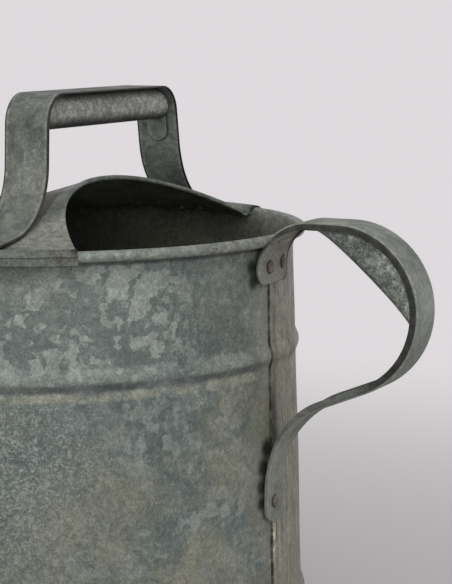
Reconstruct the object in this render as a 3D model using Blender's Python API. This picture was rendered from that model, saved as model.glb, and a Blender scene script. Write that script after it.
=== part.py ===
"""A galvanised steel watering can of about 13 litres, with a hooded mouth, a carrying handle across the
hood and a looped strap handle behind.

Frame: metres, +Z up, +X from the spout towards the rear handle. The can stands on z = 0. Each piece is
modelled round the can's own axis, and the last step slides the empty that carries them, so that the
origin ends up under the middle of the whole outline.
"""
import math

import bmesh
import bpy
from mathutils import Vector

MM = 0.001

# Sheet, straps and the clearance where two pieces lie against each other
SHEET = 0.75 * MM
STRAP = 1.0 * MM
GAP = 0.3 * MM
RUN_STEP = 22.0 * MM            # spacing of a strap's stations along its straight runs
BEND_STEP = math.radians(15.0)
CHANNEL_BEVEL = 0.9             # a turned edge's bevel, its least depth and its root, over the thickness
CHANNEL_LEAST = 0.12
CHANNEL_ROOT = 1.3
CORNER_RUNS = (0.15, 0.3, 0.55)     # how a rounded end is divided
CORNER_SHARE = 0.9              # part of its corner that a rounded end loses

# Body
RIM_HEIGHT = 246.0 * MM         # middle of the wired rim above the floor
RIM_RADIUS = 135.0 * MM
WIRE_RADIUS = 1.6 * MM
WALL_INSET = 3.7 * MM           # from the middle of the rim in to the wall's outer face
WALL_SPREAD = 7.0 * MM          # how much wider the foot is than the top of the wall
FLARE_HEIGHT = 9.0 * MM         # where the wall leans out to meet the rim
BEAD_WIDTH = 13.0 * MM
BEAD_PROUD = 1.8 * MM
UPPER_BEAD_DROP = 56.5 * MM     # below the rim
LOWER_BEAD_RISE = 59.5 * MM     # above the floor
FOOT_LIP = 3.2 * MM             # inward fold that the can stands on
ROUND_STEPS = 40

# Lap seam down the back of the wall
SEAM_ANGLE = math.radians(-2.5)
SEAM_LAP = 11.0 * MM            # how far the two edges overlap
SEAM_PROUD = 0.8 * MM
SEAM_EASE = math.radians(20.0)  # how far round the lifted layer takes to settle
SEAM_STEP = math.radians(0.05)
SEAM_MARGIN = 12.0 * MM         # left plain near the rim and the foot

# Base plate
BASE_RISE = 7.5 * MM            # its flat above the floor
BASE_DISH = 2.5 * MM
BASE_BEND = 2.0 * MM

# Hood
MOUTH_HALF_ANGLE = math.radians(49.3)   # where the mouth's edge meets the rim
MOUTH_MIDDLE_X = 36.5 * MM
ARCH_RISE = 25.0 * MM
ARCH_INSET = 10.3 * MM          # from the mouth's end in to where the arch starts to rise
ARCH_SHARE = 0.95               # the arch stops a little short of the hem's open ends
HOOD_CROWN = 2.5                # how quickly the hood sinks away from the arch
PANEL_DROP = 0.3 * MM           # the lid's middle surface below the middle of the rim
HEM_SKIRT = 3.4 * MM            # how far the hood's hem reaches below the middle of the rim
ARCH_HEM = 1.25 * MM            # radius of the folded edge along the arch
PANEL_STEPS = 6
PANEL_SPACING = 0.8             # below 1, the panel's points crowd towards the arch
HOOD_CHORD = 0.5 * MM           # how far the hood's facets stand above its true curve

# Carrying handle
BAIL_SET_BACK = 1.0 * MM        # from the middle of the mouth's edge to the middle of the handle
BAIL_WIDTH = 24.7 * MM
BAIL_EDGE = 3.0 * MM            # depth of its turned edges
BAIL_TOP = 70.2 * MM            # above the middle of the rim
BAIL_HALF_SPAN = 65.9 * MM
BAIL_CORNER = 14.5 * MM
BAIL_LEAN = math.radians(4.0)
BAIL_FLARE = 31.0 * MM
BAIL_FOOT_INSET = 15.0 * MM     # from the middle of the rim in to the end of a foot
BAIL_FOOT_ROUND = 7.0 * MM
GRIP_RADIUS = 8.2 * MM
GRIP_STEPS = 20
TAB_RADIUS = 6.8 * MM           # round-ended tabs that close the grip against the legs
TAB_THICK = 0.8 * MM
TAB_CLEAR = 1.5 * MM            # room for the strap's corner above the tab
TAB_DROP = 23.0 * MM            # the round end's middle below the top of the strap

# Rear handle
TONGUE_WIDTH = 33.0 * MM
LOOP_WIDTH = 25.6 * MM
HEEL_WIDTH = 19.0 * MM
REAR_EDGE = 3.4 * MM
TONGUE_EDGE = 0.85 * MM         # depth of the turned edge along the tongue
TONGUE_LOW = 24.0 * MM          # lower end of the tongue, below the rim
TONGUE_TOP = 17.0 * MM          # where the strap leaves the wall
TONGUE_ROUND = 7.0 * MM
REAR_BEND = 26.0 * MM
REAR_FLAT = 12.0 * MM
REAR_LOOP = 40.0 * MM
REAR_LOOP_TURN = math.radians(158.0)
REAR_HEEL_BEND = 43.5 * MM
HEEL_LENGTH = 23.0 * MM
HEEL_ROUND = 5.0 * MM
HEEL_SHIFT = -5.5 * MM          # the lower end has been pushed to one side
HEEL_TURN = math.radians(68.0)  # part of the heel's bend along which the strap narrows
PALM_START = math.radians(101.8)    # the palm piece, as angles about the loop's middle
PALM_END = math.radians(-1.1)
PALM_BLUNT = 1.0 * MM           # depth of its two ends
PALM_STEPS = 12
PALM_SIDES = 8

# Rivets
RIVET_SHANK = 1.5 * MM
RIVET_HEAD = 3.4 * MM
RIVET_DOME = 1.5 * MM
RIVET_TAIL = 2.5 * MM
RIVET_TAIL_DOME = 1.1 * MM
RIVET_FORM = ((0.35, 1.0), (0.75, 0.7), (1.0, 0.0))     # its head, over head radius and dome height
RIVET_FLAT = 0.6                # the tail's flat end over its radius
RIVET_SIDES = 8
RIVET_SEAT = 0.1 * MM           # a head's seat off the bowed strap
DRILL_REACH = 6.0               # a drill's length over the rivet's grip
TONGUE_RIVETS = (-5.0 * MM, 10.5 * MM)
TONGUE_RIVET_DROP = 15.5 * MM
HEEL_RIVET_RISE = 12.0 * MM     # above the heel's end
BAIL_RIVET_SPREAD = 5.5 * MM
STAY_RIVET_RISE = 9.9 * MM      # above the end of the stay's foot

# Spout
SPOUT_PITCH = math.radians(47.0)    # above the horizontal
SPOUT_ROOT = 52.0 * MM          # height at which its axis meets the wall
SPOUT_ROOT_RADIUS = 27.0 * MM
SPOUT_TIP_RADIUS = 13.0 * MM
SPOUT_LENGTH = 290.0 * MM       # from the wall to the tip, along its axis
SPOUT_STEPS = 24
SPOUT_FLANGE = 7.0 * MM
LIP_PROUD = 1.4 * MM
LIP_LENGTH = 3.6 * MM
STRAINER_HOLE = 3.2 * MM
STRAINER_PITCH = 13.0 * MM
STRAINER_RINGS = 2
STRAINER_SIDES = 8
STRAINER_DRILL = 14.0 * MM      # length of a drill, past both faces of the wall

# Stay from the wall to the spout, and the clip that holds its end
STAY_WIDTH = 14.0 * MM
STAY_LEVEL = 14.0 * MM          # its straight run below the middle of the rim
STAY_FOOT = 22.0 * MM
STAY_BEND = 9.0 * MM
STAY_END = 18.0 * MM
STAY_EDGE = 2.0 * MM
STAY_EDGE_EASE = 36.0 * MM      # length over which its edges turn down
STAY_FOOT_ROUND = 5.0 * MM
STAY_END_ROUND = 4.0 * MM
CLIP_WIDTH = 12.0 * MM

# What follows from the sizes above
WALL_TOP_RADIUS = RIM_RADIUS - WALL_INSET
WALL_FOOT_RADIUS = WALL_TOP_RADIUS + WALL_SPREAD
TAPER = WALL_SPREAD / (RIM_HEIGHT - FLARE_HEIGHT)
LEAN = math.atan(TAPER)
ROLL_INSIDE = WIRE_RADIUS + GAP
ROLL_OUTSIDE = ROLL_INSIDE + SHEET
SAG = WALL_TOP_RADIUS * (1.0 - math.cos(math.pi / ROUND_STEPS))     # from a round wall to its facets
ARCH_HALF_SPAN = RIM_RADIUS * math.sin(MOUTH_HALF_ANGLE) - ARCH_INSET
BAIL_X = MOUTH_MIDDLE_X - BAIL_SET_BACK
BAIL_FOOT = RIM_RADIUS - BAIL_FOOT_INSET
BAIL_MIDDLE_Z = RIM_HEIGHT + BAIL_TOP - STRAP / 2.0     # the strap's middle surface on top
BAIL_UPRIGHT = math.pi / 2.0 - BAIL_LEAN

# Folds sharper than these angles, in degrees, are shaded as edges
SHEET_FOLD = 35.0
ROUND_FOLD = 60.0
WIRE_FOLD = 80.0
RIVET_FOLD = 50.0


# Clearing, materials and finished objects
def metal(name, colour, roughness, metallic):
    """A Principled BSDF of one colour."""
    made = bpy.data.materials.new(name)
    made.use_nodes = True
    shader = made.node_tree.nodes["Principled BSDF"]
    shader.inputs["Base Color"].default_value = (*colour, 1.0)
    shader.inputs["Roughness"].default_value = roughness
    shader.inputs["Metallic"].default_value = metallic
    return made


def finish(name, mesh_data, material, smooth_below=SHEET_FOLD):
    """Make an object of a bmesh, facing outwards, shaded smooth apart from its folds."""
    bmesh.ops.recalc_face_normals(mesh_data, faces=mesh_data.faces)
    mesh = bpy.data.meshes.new(name)
    mesh_data.to_mesh(mesh)
    mesh_data.free()
    mesh.shade_smooth()
    mesh.set_sharp_from_angle(angle=math.radians(smooth_below))
    mesh.materials.append(material)
    item = bpy.data.objects.new(name, mesh)
    bpy.context.collection.objects.link(item)
    return item


def skin(loops, ring=False):
    """Faces between loops of the same number of points: a ring of loops, or a run with capped ends."""
    mesh_data = bmesh.new()
    rows = [[mesh_data.verts.new(point) for point in loop] for loop in loops]
    pairs = list(zip(rows, rows[1:]))
    if ring:
        pairs.append((rows[-1], rows[0]))
    for row, following in pairs:
        for i in range(len(row)):
            j = (i + 1) % len(row)
            mesh_data.faces.new((row[i], row[j], following[j], following[i]))
    if not ring:
        mesh_data.faces.new(rows[0])
        mesh_data.faces.new(rows[-1])
    return mesh_data


def cut(item, cutter):
    """Take the cutter's shape out of an object."""
    cutter.hide_render = True
    cutter.display_type = "WIRE"
    change = item.modifiers.new("cut " + cutter.name, "BOOLEAN")
    change.operation = "DIFFERENCE"
    change.solver = "EXACT"
    change.object = cutter


def frange(first, last, steps):
    """Evenly spaced values, both ends included."""
    return [first + (last - first) * i / steps for i in range(steps + 1)]


def ease(value, low, high):
    """0 below low, 1 above high, and a smooth rise between."""
    share = min(1.0, max(0.0, (value - low) / (high - low)))
    return share * share * (3.0 - 2.0 * share)


# The wall's own form, which other pieces lie against
def wall_radius(z):
    """Outer radius of the plain tapered wall at a height above the floor."""
    return WALL_FOOT_RADIUS - TAPER * z


def seam_lift(angle, z):
    """How far the outer layer stands proud beside the seam, at an angle round the can."""
    past = (angle - SEAM_ANGLE + math.pi) % (2.0 * math.pi) - math.pi
    if past < 0.0 or past > SEAM_EASE:
        return 0.0
    upright = ease(z, 0.0, SEAM_MARGIN) * ease(RIM_HEIGHT - z, FLARE_HEIGHT, FLARE_HEIGHT + SEAM_MARGIN)
    return SEAM_PROUD * (1.0 - past / SEAM_EASE) * upright


def seam_tuck(angle, z):
    """How far the inner layer stands inwards on the other side of the seam."""
    return seam_lift(2.0 * SEAM_ANGLE + SEAM_LAP / WALL_TOP_RADIUS - angle, z)


def bead(angle, z):
    """Height of the swaged ribs. The lower one dies out on either side of the spout."""
    height = 0.0
    for middle in (RIM_HEIGHT - UPPER_BEAD_DROP, LOWER_BEAD_RISE):
        across = abs(z - middle) / (BEAD_WIDTH / 2.0)
        if across < 1.0:
            height = BEAD_PROUD * (0.5 + 0.5 * math.cos(math.pi * across))
    if z < RIM_HEIGHT / 2.0:
        beside = abs(angle % (2.0 * math.pi) - math.pi) * WALL_FOOT_RADIUS
        clear = SPOUT_ROOT_RADIUS + SPOUT_FLANGE
        height *= ease(beside, clear + BEAD_WIDTH / 2.0, 2.0 * clear)
    return height


def polar(radius, angle, z):
    """A point at a radius and an angle round the can."""
    return Vector((radius * math.cos(angle), radius * math.sin(angle), z))


def on_facets(radius, angle, z):
    """A point at a radius of the body's corners, drawn in to the flat between them."""
    half = math.pi / ROUND_STEPS
    return polar(radius * math.cos(half) / math.cos(angle % (2.0 * half) - half), angle, z)


def round_angles():
    """The angles of the can's facets."""
    return [2.0 * math.pi * i / ROUND_STEPS for i in range(ROUND_STEPS)]


# Body
def wall_heights():
    """Where the wall's outline has points, from the foot up."""
    heights = [SEAM_MARGIN]
    for middle in (LOWER_BEAD_RISE, RIM_HEIGHT - UPPER_BEAD_DROP):
        heights += frange(middle - BEAD_WIDTH / 2.0, middle + BEAD_WIDTH / 2.0, 4)
    return heights + [RIM_HEIGHT - FLARE_HEIGHT - SEAM_MARGIN, RIM_HEIGHT - FLARE_HEIGHT]


def rim_section(radius, turn):
    """Radius and height of a point at a distance from the rim wire's middle."""
    return RIM_RADIUS + radius * math.cos(turn), RIM_HEIGHT + radius * math.sin(turn)


def body_outline(angle):
    """The wall's section at one angle: foot, wall and the curl round the rim wire."""
    heights = wall_heights()
    outer = [(wall_radius(z) + bead(angle, z) + seam_lift(angle, z), z) for z in heights]
    inner = [(wall_radius(z) + bead(angle, z) - SHEET - seam_tuck(angle, z), z) for z in heights]
    curl = [math.radians(a) for a in (180, 125, 70, 15, -45, -105)]
    inside = [rim_section(ROLL_INSIDE, turn) for turn in curl]
    outside = [rim_section(ROLL_OUTSIDE, turn) for turn in curl]
    lip = WALL_FOOT_RADIUS - FOOT_LIP
    foot = [(lip, SHEET), (lip, 0.0), (WALL_FOOT_RADIUS, 0.0)]
    heel = [(WALL_FOOT_RADIUS - SHEET, SHEET)]
    return foot + outer + inside + outside[::-1] + inner[::-1] + heel


def make_body(material):
    """The wall in one sheet, from the folded foot to the curl round the rim wire."""
    angles = round_angles()
    for edge in (SEAM_ANGLE, SEAM_ANGLE + SEAM_LAP / WALL_TOP_RADIUS):
        angles += [(edge - SEAM_STEP) % (2.0 * math.pi), (edge + SEAM_STEP) % (2.0 * math.pi)]
    angles.sort()
    loops = [[on_facets(r, a, z) for r, z in body_outline(a)] for a in angles]
    return finish("body", skin(loops, ring=True), material)


def make_wire(material):
    """The wire inside the rim's curl."""
    section = [rim_section(WIRE_RADIUS, math.radians(turn)) for turn in range(0, 360, 72)]
    loops = [[polar(r, angle, z) for r, z in section] for angle in round_angles()]
    return finish("rim_wire", skin(loops, ring=True), material, WIRE_FOLD)


def make_base(material):
    """The pressed bottom, a shallow dish with a flange that stands on the wall's folded foot."""
    flange = wall_radius(BASE_RISE) - SHEET - GAP
    top = [(0.5 * flange, BASE_RISE + BASE_DISH), (flange - 6.0 * BASE_BEND, BASE_RISE)]
    top.append((flange - BASE_BEND, BASE_RISE))
    under = [(r, z - SHEET) for r, z in top]
    bend = [(flange, BASE_RISE - BASE_BEND), (flange, SHEET + GAP)]
    bend += [(flange - SHEET, SHEET + GAP), (flange - SHEET, BASE_RISE - BASE_BEND - SHEET)]
    outline = top + bend + under[::-1]
    loops = [[polar(r, a, z) for a in round_angles()] for r, z in outline]
    return finish("base_plate", skin(loops), material)


# Hood
def arch_height(y):
    """Height of the arched edge above the lid, at a distance from the middle plane."""
    radius = (ARCH_HALF_SPAN ** 2 + ARCH_RISE ** 2) / (2.0 * ARCH_RISE)
    if abs(y) >= ARCH_HALF_SPAN:
        return 0.0
    return math.sqrt(radius ** 2 - y ** 2) - (radius - ARCH_RISE)


def arch_point(share):
    """A point of the arched edge in plan, share running from -1 to 1 across the mouth."""
    end = polar(RIM_RADIUS, MOUTH_HALF_ANGLE, 0.0)
    chord = end.x - MOUTH_MIDDLE_X
    radius = (chord ** 2 + end.y ** 2) / (2.0 * chord)
    turn = math.asin(end.y / radius) * share
    return Vector((MOUTH_MIDDLE_X + radius * (1.0 - math.cos(turn)), radius * math.sin(turn), 0.0))


def hood_line(share):
    """The straight line in plan from the rim to the arch, share running from -1 to 1."""
    angle = math.pi - share * (math.pi - MOUTH_HALF_ANGLE)
    inside = ROLL_OUTSIDE + GAP + SHEET
    return angle, on_facets(RIM_RADIUS - inside, angle, 0.0), arch_point(share * ARCH_SHARE)


def hood_rise(share, along):
    """Height of the hood's middle surface above the rim's middle, along one such line."""
    arch = arch_height(arch_point(share * ARCH_SHARE).y)
    return arch * along ** HOOD_CROWN - PANEL_DROP


def hood_top(x, y):
    """Height of the hood's upper face above the floor at a place in plan."""
    low = 0.0
    high = 1.0
    for _ in range(40):
        share = (low + high) / 2.0
        _, rim, arch = hood_line(share)
        side = (arch.x - rim.x) * (abs(y) - rim.y) - (arch.y - rim.y) * (x - rim.x)
        if side > 0.0:
            low = share
        else:
            high = share
    _, rim, arch = hood_line(share)
    along = (Vector((x, abs(y), 0.0)) - rim).length / (arch - rim).length
    return RIM_HEIGHT + hood_rise(share, along) + SHEET / 2.0


def hood_section(share):
    """The hood's closed section on one line: hem over the rim, panel, folded edge, and back beneath."""
    angle, rim, arch = hood_line(share)
    outer = []
    inner = []
    hem_outside = ROLL_OUTSIDE + GAP + SHEET
    hem_inside = ROLL_OUTSIDE + GAP
    for radius, points in ((hem_outside, outer), (hem_inside, inner)):
        points.append(on_facets(RIM_RADIUS + radius, angle, RIM_HEIGHT - HEM_SKIRT))
        for turn in (0, 50, 90, 130):
            reach, height = rim_section(radius, math.radians(turn))
            points.append(on_facets(reach, angle, height))
    outer.append(on_facets(RIM_RADIUS - hem_outside, angle, RIM_HEIGHT + SHEET))
    inner.append(on_facets(RIM_RADIUS - hem_inside, angle, RIM_HEIGHT - PANEL_DROP - SHEET / 2.0))
    line = arch - rim
    for step in range(1, PANEL_STEPS + 1):
        along = (step / PANEL_STEPS) ** PANEL_SPACING
        middle = rim + line * (along * (1.0 - ARCH_HEM / line.length))
        middle.z = RIM_HEIGHT + hood_rise(share, along)
        outer.append(middle + Vector((0.0, 0.0, SHEET / 2.0)))
        inner.append(middle - Vector((0.0, 0.0, SHEET / 2.0)))
    level = line.normalized()
    centre = arch.copy()
    centre.z = RIM_HEIGHT + hood_rise(share, 1.0)
    hem = []
    for turn in (120, 60, 0, -60, -120):
        bend = math.radians(turn)
        rise = Vector((0.0, 0.0, ARCH_HEM * math.sin(bend)))
        hem.append(centre + level * (ARCH_HEM * math.cos(bend)) + rise)
    return outer + hem + inner[::-1]


def make_hood(material):
    """The lid over the front of the can, swept up to the arched edge of the mouth."""
    angles = [a for a in round_angles() if MOUTH_HALF_ANGLE < a < 2.0 * math.pi - MOUTH_HALF_ANGLE]
    angles = [MOUTH_HALF_ANGLE] + angles + [2.0 * math.pi - MOUTH_HALF_ANGLE]
    loops = [hood_section((math.pi - a) / (math.pi - MOUTH_HALF_ANGLE)) for a in angles]
    return finish("hood", skin(loops), material)


# Straps: a path of runs and bends in an upright plane, and a section carried along it
def trace(start, heading, moves):
    """Follow runs (length, 0) and bends (radius, turn); give each station's place, heading and distance."""
    place = Vector(start)
    stations = [(place.copy(), heading, 0.0)]
    gone = 0.0
    for size, turn in moves:
        if turn == 0.0:
            steps = max(1, round(size / RUN_STEP))
            stride = size / steps
        else:
            steps = max(1, math.ceil(abs(turn) / BEND_STEP))
            stride = 2.0 * size * math.sin(abs(turn) / steps / 2.0)
        for _ in range(steps):
            heading += turn / steps / 2.0
            place = place + Vector((math.cos(heading), math.sin(heading))) * stride
            heading += turn / steps / 2.0
            gone += size / steps if turn == 0.0 else size * abs(turn) / steps
            stations.append((place.copy(), heading, gone))
    return stations


def channel(width, edge, thick):
    """A strap's section with both edges turned down: across, and out from the strap's middle surface."""
    edge = max(edge, CHANNEL_LEAST * thick)
    bevel = min(CHANNEL_BEVEL * thick, 0.5 * (thick + edge))
    half = width / 2.0
    face = thick / 2.0
    right = [(half - bevel, face), (half, face - bevel), (half, -face - edge)]
    right += [(half - thick, -face - edge), (half - CHANNEL_ROOT * thick, -face)]
    return [(-u, v) for u, v in right[::-1]] + [(0.0, face)] + right + [(0.0, -face)]


def rounded(width, from_end, corner):
    """A strap's width near an end whose corners are rounded off."""
    if from_end >= corner:
        return width
    lost = corner - math.sqrt(max(0.0, corner ** 2 - (corner - from_end) ** 2))
    return width - 2.0 * lost * CORNER_SHARE


def corner_runs(corner):
    """Short runs that give a rounded end its shape."""
    return [(corner * share, 0.0) for share in CORNER_RUNS]


def strap(name, stations, section_at, place_at, material):
    """Carry a section along stations. place_at turns a station, across and out into a point."""
    loops = []
    for station in stations:
        loops.append([place_at(station, u, v) for u, v in section_at(station)])
    return finish(name, skin(loops), material)


# Carrying handle
def foot_height(reach):
    """Height at which a foot's middle surface clears the hood, at a distance from the middle plane."""
    under = [hood_top(BAIL_X + BAIL_WIDTH * share, reach) for share in (-0.5, 0.0, 0.5)]
    return max(under) + GAP + HOOD_CHORD + STRAP / 2.0


def leg_moves(seat, slope):
    """From the middle of the top round the corner, down a leg and out to where its foot lands."""
    corner_drop = BAIL_CORNER * (1.0 - math.cos(BAIL_UPRIGHT))
    flare_drop = BAIL_FLARE * (math.cos(slope) - math.cos(BAIL_UPRIGHT))
    leg = (BAIL_MIDDLE_Z - corner_drop - flare_drop - seat) / math.cos(BAIL_LEAN)
    moves = [(BAIL_HALF_SPAN - STRAP / 2.0 - BAIL_CORNER, 0.0), (BAIL_CORNER, -BAIL_UPRIGHT)]
    return moves + [(leg, 0.0), (BAIL_FLARE, BAIL_UPRIGHT - slope)]


def foot_line():
    """Where a foot's middle surface comes down on the hood: its reach, height and slope outwards."""
    reach = BAIL_HALF_SPAN + BAIL_FLARE
    for _ in range(6):
        seat = foot_height(reach)
        slope = math.atan((seat - foot_height(BAIL_FOOT)) / (BAIL_FOOT - reach))
        reach = trace((0.0, BAIL_MIDDLE_Z), 0.0, leg_moves(seat, slope))[-1][0].x
    return reach, seat, slope


def bail_stations():
    """One half of the handle from the middle of its top to the end of a foot, then both halves."""
    reach, seat, slope = foot_line()
    rest = (BAIL_FOOT - reach) / math.cos(slope) - BAIL_FOOT_ROUND
    moves = leg_moves(seat, slope) + [(rest, 0.0)] + corner_runs(BAIL_FOOT_ROUND)[::-1]
    half = trace((0.0, BAIL_MIDDLE_Z), 0.0, moves)
    mirrored = [(Vector((-p.x, p.y)), -heading, -gone) for p, heading, gone in half[:0:-1]]
    return mirrored + half


def bail_section(station, total):
    """The handle's section, flat where its feet lie on the hood."""
    place, _, gone = station
    width = rounded(BAIL_WIDTH, total - abs(gone), BAIL_FOOT_ROUND)
    high = ease(place.y - RIM_HEIGHT, 0.5 * BAIL_FLARE, 1.2 * BAIL_FLARE)
    return channel(width, BAIL_EDGE * high, STRAP)


def bail_place(station, u, v):
    """A point of the handle, which stands across the can."""
    place, heading, _ = station
    return Vector((BAIL_X + u, place.x - v * math.sin(heading), place.y + v * math.cos(heading)))


def make_bail(material):
    """The strap over the top, in one piece from foot to foot."""
    stations = bail_stations()
    total = stations[-1][2]
    return strap("bail_strap", stations, lambda s: bail_section(s, total), bail_place, material)


def grip_reach(z):
    """Half length of the grip at a height, following the inside of the strap's corner."""
    middle_y = BAIL_HALF_SPAN - STRAP / 2.0 - BAIL_CORNER
    middle_z = RIM_HEIGHT + BAIL_TOP - STRAP / 2.0 - BAIL_CORNER
    inside = BAIL_CORNER - STRAP / 2.0 - GAP
    into_corner = max(0.0, z - middle_z)
    left = math.sqrt(max(0.0, inside ** 2 - into_corner ** 2))
    return middle_y + left - TAB_THICK - GAP


def make_grip(material):
    """A round grip under the strap, its ends cut to the strap's bend."""
    axis = RIM_HEIGHT + BAIL_TOP - STRAP - GAP - GRIP_RADIUS
    loops = []
    for side in (-1.0, -0.6, 0.6, 1.0):
        loops.append([])
        for turn in frange(0.0, 2.0 * math.pi, GRIP_STEPS)[:-1]:
            z = axis + GRIP_RADIUS * math.sin(turn)
            reach = grip_reach(z) if abs(side) == 1.0 else BAIL_HALF_SPAN
            loops[-1].append(Vector((BAIL_X + GRIP_RADIUS * math.cos(turn), side * reach, z)))
    return finish("grip_tube", skin(loops), material)


def make_tab(side, material):
    """A round-ended tab against the inside of one leg, behind the end of the grip."""
    top = RIM_HEIGHT + BAIL_TOP
    low = top - TAB_DROP
    high = top - BAIL_CORNER - STRAP
    outline = [(TAB_RADIUS * math.cos(a), low + TAB_RADIUS * math.sin(a)) for a in frange(-math.pi, 0.0, 8)]
    outline += [(TAB_RADIUS, high), (-TAB_RADIUS, high)]
    loops = []
    for reach in (STRAP + GAP, STRAP + GAP + TAB_THICK):
        loops.append([])
        for u, z in outline:
            leaning = math.tan(BAIL_LEAN) * (high + TAB_CLEAR - z)
            loops[-1].append(Vector((BAIL_X + u, side * (BAIL_HALF_SPAN - reach + leaning), z)))
    return finish("grip_tab_right" if side > 0 else "grip_tab_left", skin(loops), material)


# Rear handle
def rear_start():
    """The lower end of the tongue on the wall, in the middle plane."""
    z = RIM_HEIGHT - TONGUE_LOW
    return Vector((wall_radius(z) + SEAM_PROUD + GAP + STRAP / 2.0, z))


def moves_to_loop():
    """The tongue, the bend over the rim and the short flat before the loop."""
    moves = corner_runs(TONGUE_ROUND)
    flat = (TONGUE_LOW - TONGUE_TOP) / math.cos(LEAN) - TONGUE_ROUND
    if flat > GAP:
        moves.append((flat, 0.0))
    return moves + [(REAR_BEND, -math.pi / 2.0 - LEAN), (REAR_FLAT, 0.0)]


def rear_stations():
    """From the tongue's lower end up the wall, over the rim, round the loop and back to the wall."""
    moves = moves_to_loop() + [(REAR_LOOP, -REAR_LOOP_TURN)]
    place, heading, _ = trace(rear_start(), math.pi / 2.0 + LEAN, moves)[-1]
    last_turn = 1.5 * math.pi + LEAN - (heading + 2.0 * math.pi)
    bend_x = REAR_HEEL_BEND * (math.sin(heading + last_turn) - math.sin(heading))
    bend_z = -REAR_HEEL_BEND * (math.cos(heading + last_turn) - math.cos(heading))
    run = 0.0
    for _ in range(6):
        z = place.y + run * math.sin(heading) + bend_z
        target = wall_radius(z) + SEAM_PROUD + GAP + STRAP / 2.0
        run = (target - place.x - bend_x) / math.cos(heading)
    moves += [(run, 0.0), (REAR_HEEL_BEND, last_turn), (HEEL_LENGTH - HEEL_ROUND, 0.0)]
    moves += corner_runs(HEEL_ROUND)[::-1]
    return trace(rear_start(), math.pi / 2.0 + LEAN, moves)


def rear_marks(stations):
    """Distances along the strap: off the wall, on top, start of the heel's bend, and the end."""
    total = stations[-1][2]
    off = TONGUE_LOW - TONGUE_TOP
    top = off + REAR_BEND * math.pi / 2.0
    heel = total - HEEL_LENGTH - REAR_HEEL_BEND * HEEL_TURN
    return off, top, heel, total


def rear_section(station, marks):
    """The rear strap's section: a wide tongue, a channel round the loop and a narrow flat heel."""
    gone = station[2]
    off, top, heel, total = marks
    width = TONGUE_WIDTH + (LOOP_WIDTH - TONGUE_WIDTH) * ease(gone, off, top)
    width += (HEEL_WIDTH - LOOP_WIDTH) * ease(gone, heel, total - HEEL_LENGTH)
    width = rounded(width, gone, TONGUE_ROUND)
    width = rounded(width, total - gone, HEEL_ROUND)
    deep = TONGUE_EDGE + (REAR_EDGE - TONGUE_EDGE) * ease(gone, off, top)
    return channel(width, deep * (1.0 - ease(gone, heel, total - HEEL_LENGTH)), STRAP)


def rear_place(station, u, v, marks):
    """A point of the rear strap, hugging the round wall at both ends and pushed aside at the heel."""
    place, heading, gone = station
    off, top, heel, total = marks
    shift = HEEL_SHIFT * ease(gone, heel, total)
    hug = max(1.0 - ease(gone, off, top), ease(gone, heel, total - HEEL_LENGTH))
    y = u + shift
    radius = WALL_TOP_RADIUS
    bow = hug * (radius - math.sqrt(radius ** 2 - y ** 2))
    return Vector((place.x - v * math.sin(heading) - bow, y, place.y + v * math.cos(heading)))


def make_rear_strap(material):
    """The strap from the tongue over the rim, round the loop and down to the heel."""
    stations = rear_stations()
    marks = rear_marks(stations)
    return strap(
        "rear_strap", stations, lambda s: rear_section(s, marks),
        lambda s, u, v: rear_place(s, u, v, marks), material)


def make_palm(material):
    """The half-round palm piece that fills the top of the loop, from a straight chord to the strap."""
    stations = trace(rear_start(), math.pi / 2.0 + LEAN, moves_to_loop())
    middle = stations[-1][0] - Vector((0.0, REAR_LOOP))
    reach = (REAR_LOOP - STRAP / 2.0) * math.cos(BEND_STEP / 2.0) - GAP
    across = LOOP_WIDTH / 2.0 - STRAP - GAP
    half_turn = (PALM_START - PALM_END) / 2.0
    axis = (PALM_START + PALM_END) / 2.0
    chord = (reach - PALM_BLUNT) * math.cos(half_turn)
    loops = []
    for angle in frange(PALM_END, PALM_START, PALM_STEPS):
        depth = reach - chord / math.cos(angle - axis)
        loops.append([])
        for turn in frange(0.0, math.pi, PALM_SIDES):
            radius = reach - depth * math.sin(turn)
            x = middle.x + radius * math.cos(angle)
            z = middle.y + radius * math.sin(angle)
            loops[-1].append(Vector((x, across * math.cos(turn), z)))
    return finish("rear_palm", skin(loops), material, ROUND_FOLD)


# Rivets, each through its own clearance holes
def round_loop(place, turn, radius, height, sides):
    """A loop of points round a turned axis, at a height along it."""
    angles = [2.0 * math.pi * i / sides for i in range(sides)]
    return [place + turn @ Vector((radius * math.cos(a), radius * math.sin(a), height)) for a in angles]


def make_rivet(name, place, outward, grip, material):
    """A domed rivet: its head stands on the outer piece and its tail behind the inner one."""
    profile = [(share * RIVET_HEAD, height * RIVET_DOME) for share, height in RIVET_FORM]
    profile += [(RIVET_SHANK, 0.0), (RIVET_SHANK, -grip), (RIVET_TAIL, -grip)]
    profile += [(RIVET_FLAT * RIVET_TAIL, -grip - RIVET_TAIL_DOME)]
    turn = Vector((0.0, 0.0, 1.0)).rotation_difference(outward.normalized())
    loops = []
    for radius, height in profile:
        loops.append(round_loop(place, turn, radius, height, RIVET_SIDES))
    return finish(name, skin(loops), material, RIVET_FOLD)


def make_drill(name, place, outward, length, radius=RIVET_SHANK + GAP, sides=RIVET_SIDES):
    """A cutter for a round hole about a point, along a direction."""
    turn = Vector((0.0, 0.0, 1.0)).rotation_difference(outward.normalized())
    loops = []
    for height in (-length / 2.0, length / 2.0):
        loops.append(round_loop(place, turn, radius, height, sides))
    return finish(name, skin(loops), bpy.data.materials["cutter"])


def rivet_through(name, place, outward, grip, pieces, material):
    """Set a rivet with its head at a place on the outer face, and drill the pieces that it joins."""
    drill = make_drill("drill_" + name, place, outward, DRILL_REACH * grip)
    for piece in pieces:
        cut(piece, drill)
    head = place + outward.normalized() * GAP
    return [make_rivet(name, head, outward, grip + 2.0 * GAP, material), drill]


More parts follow.
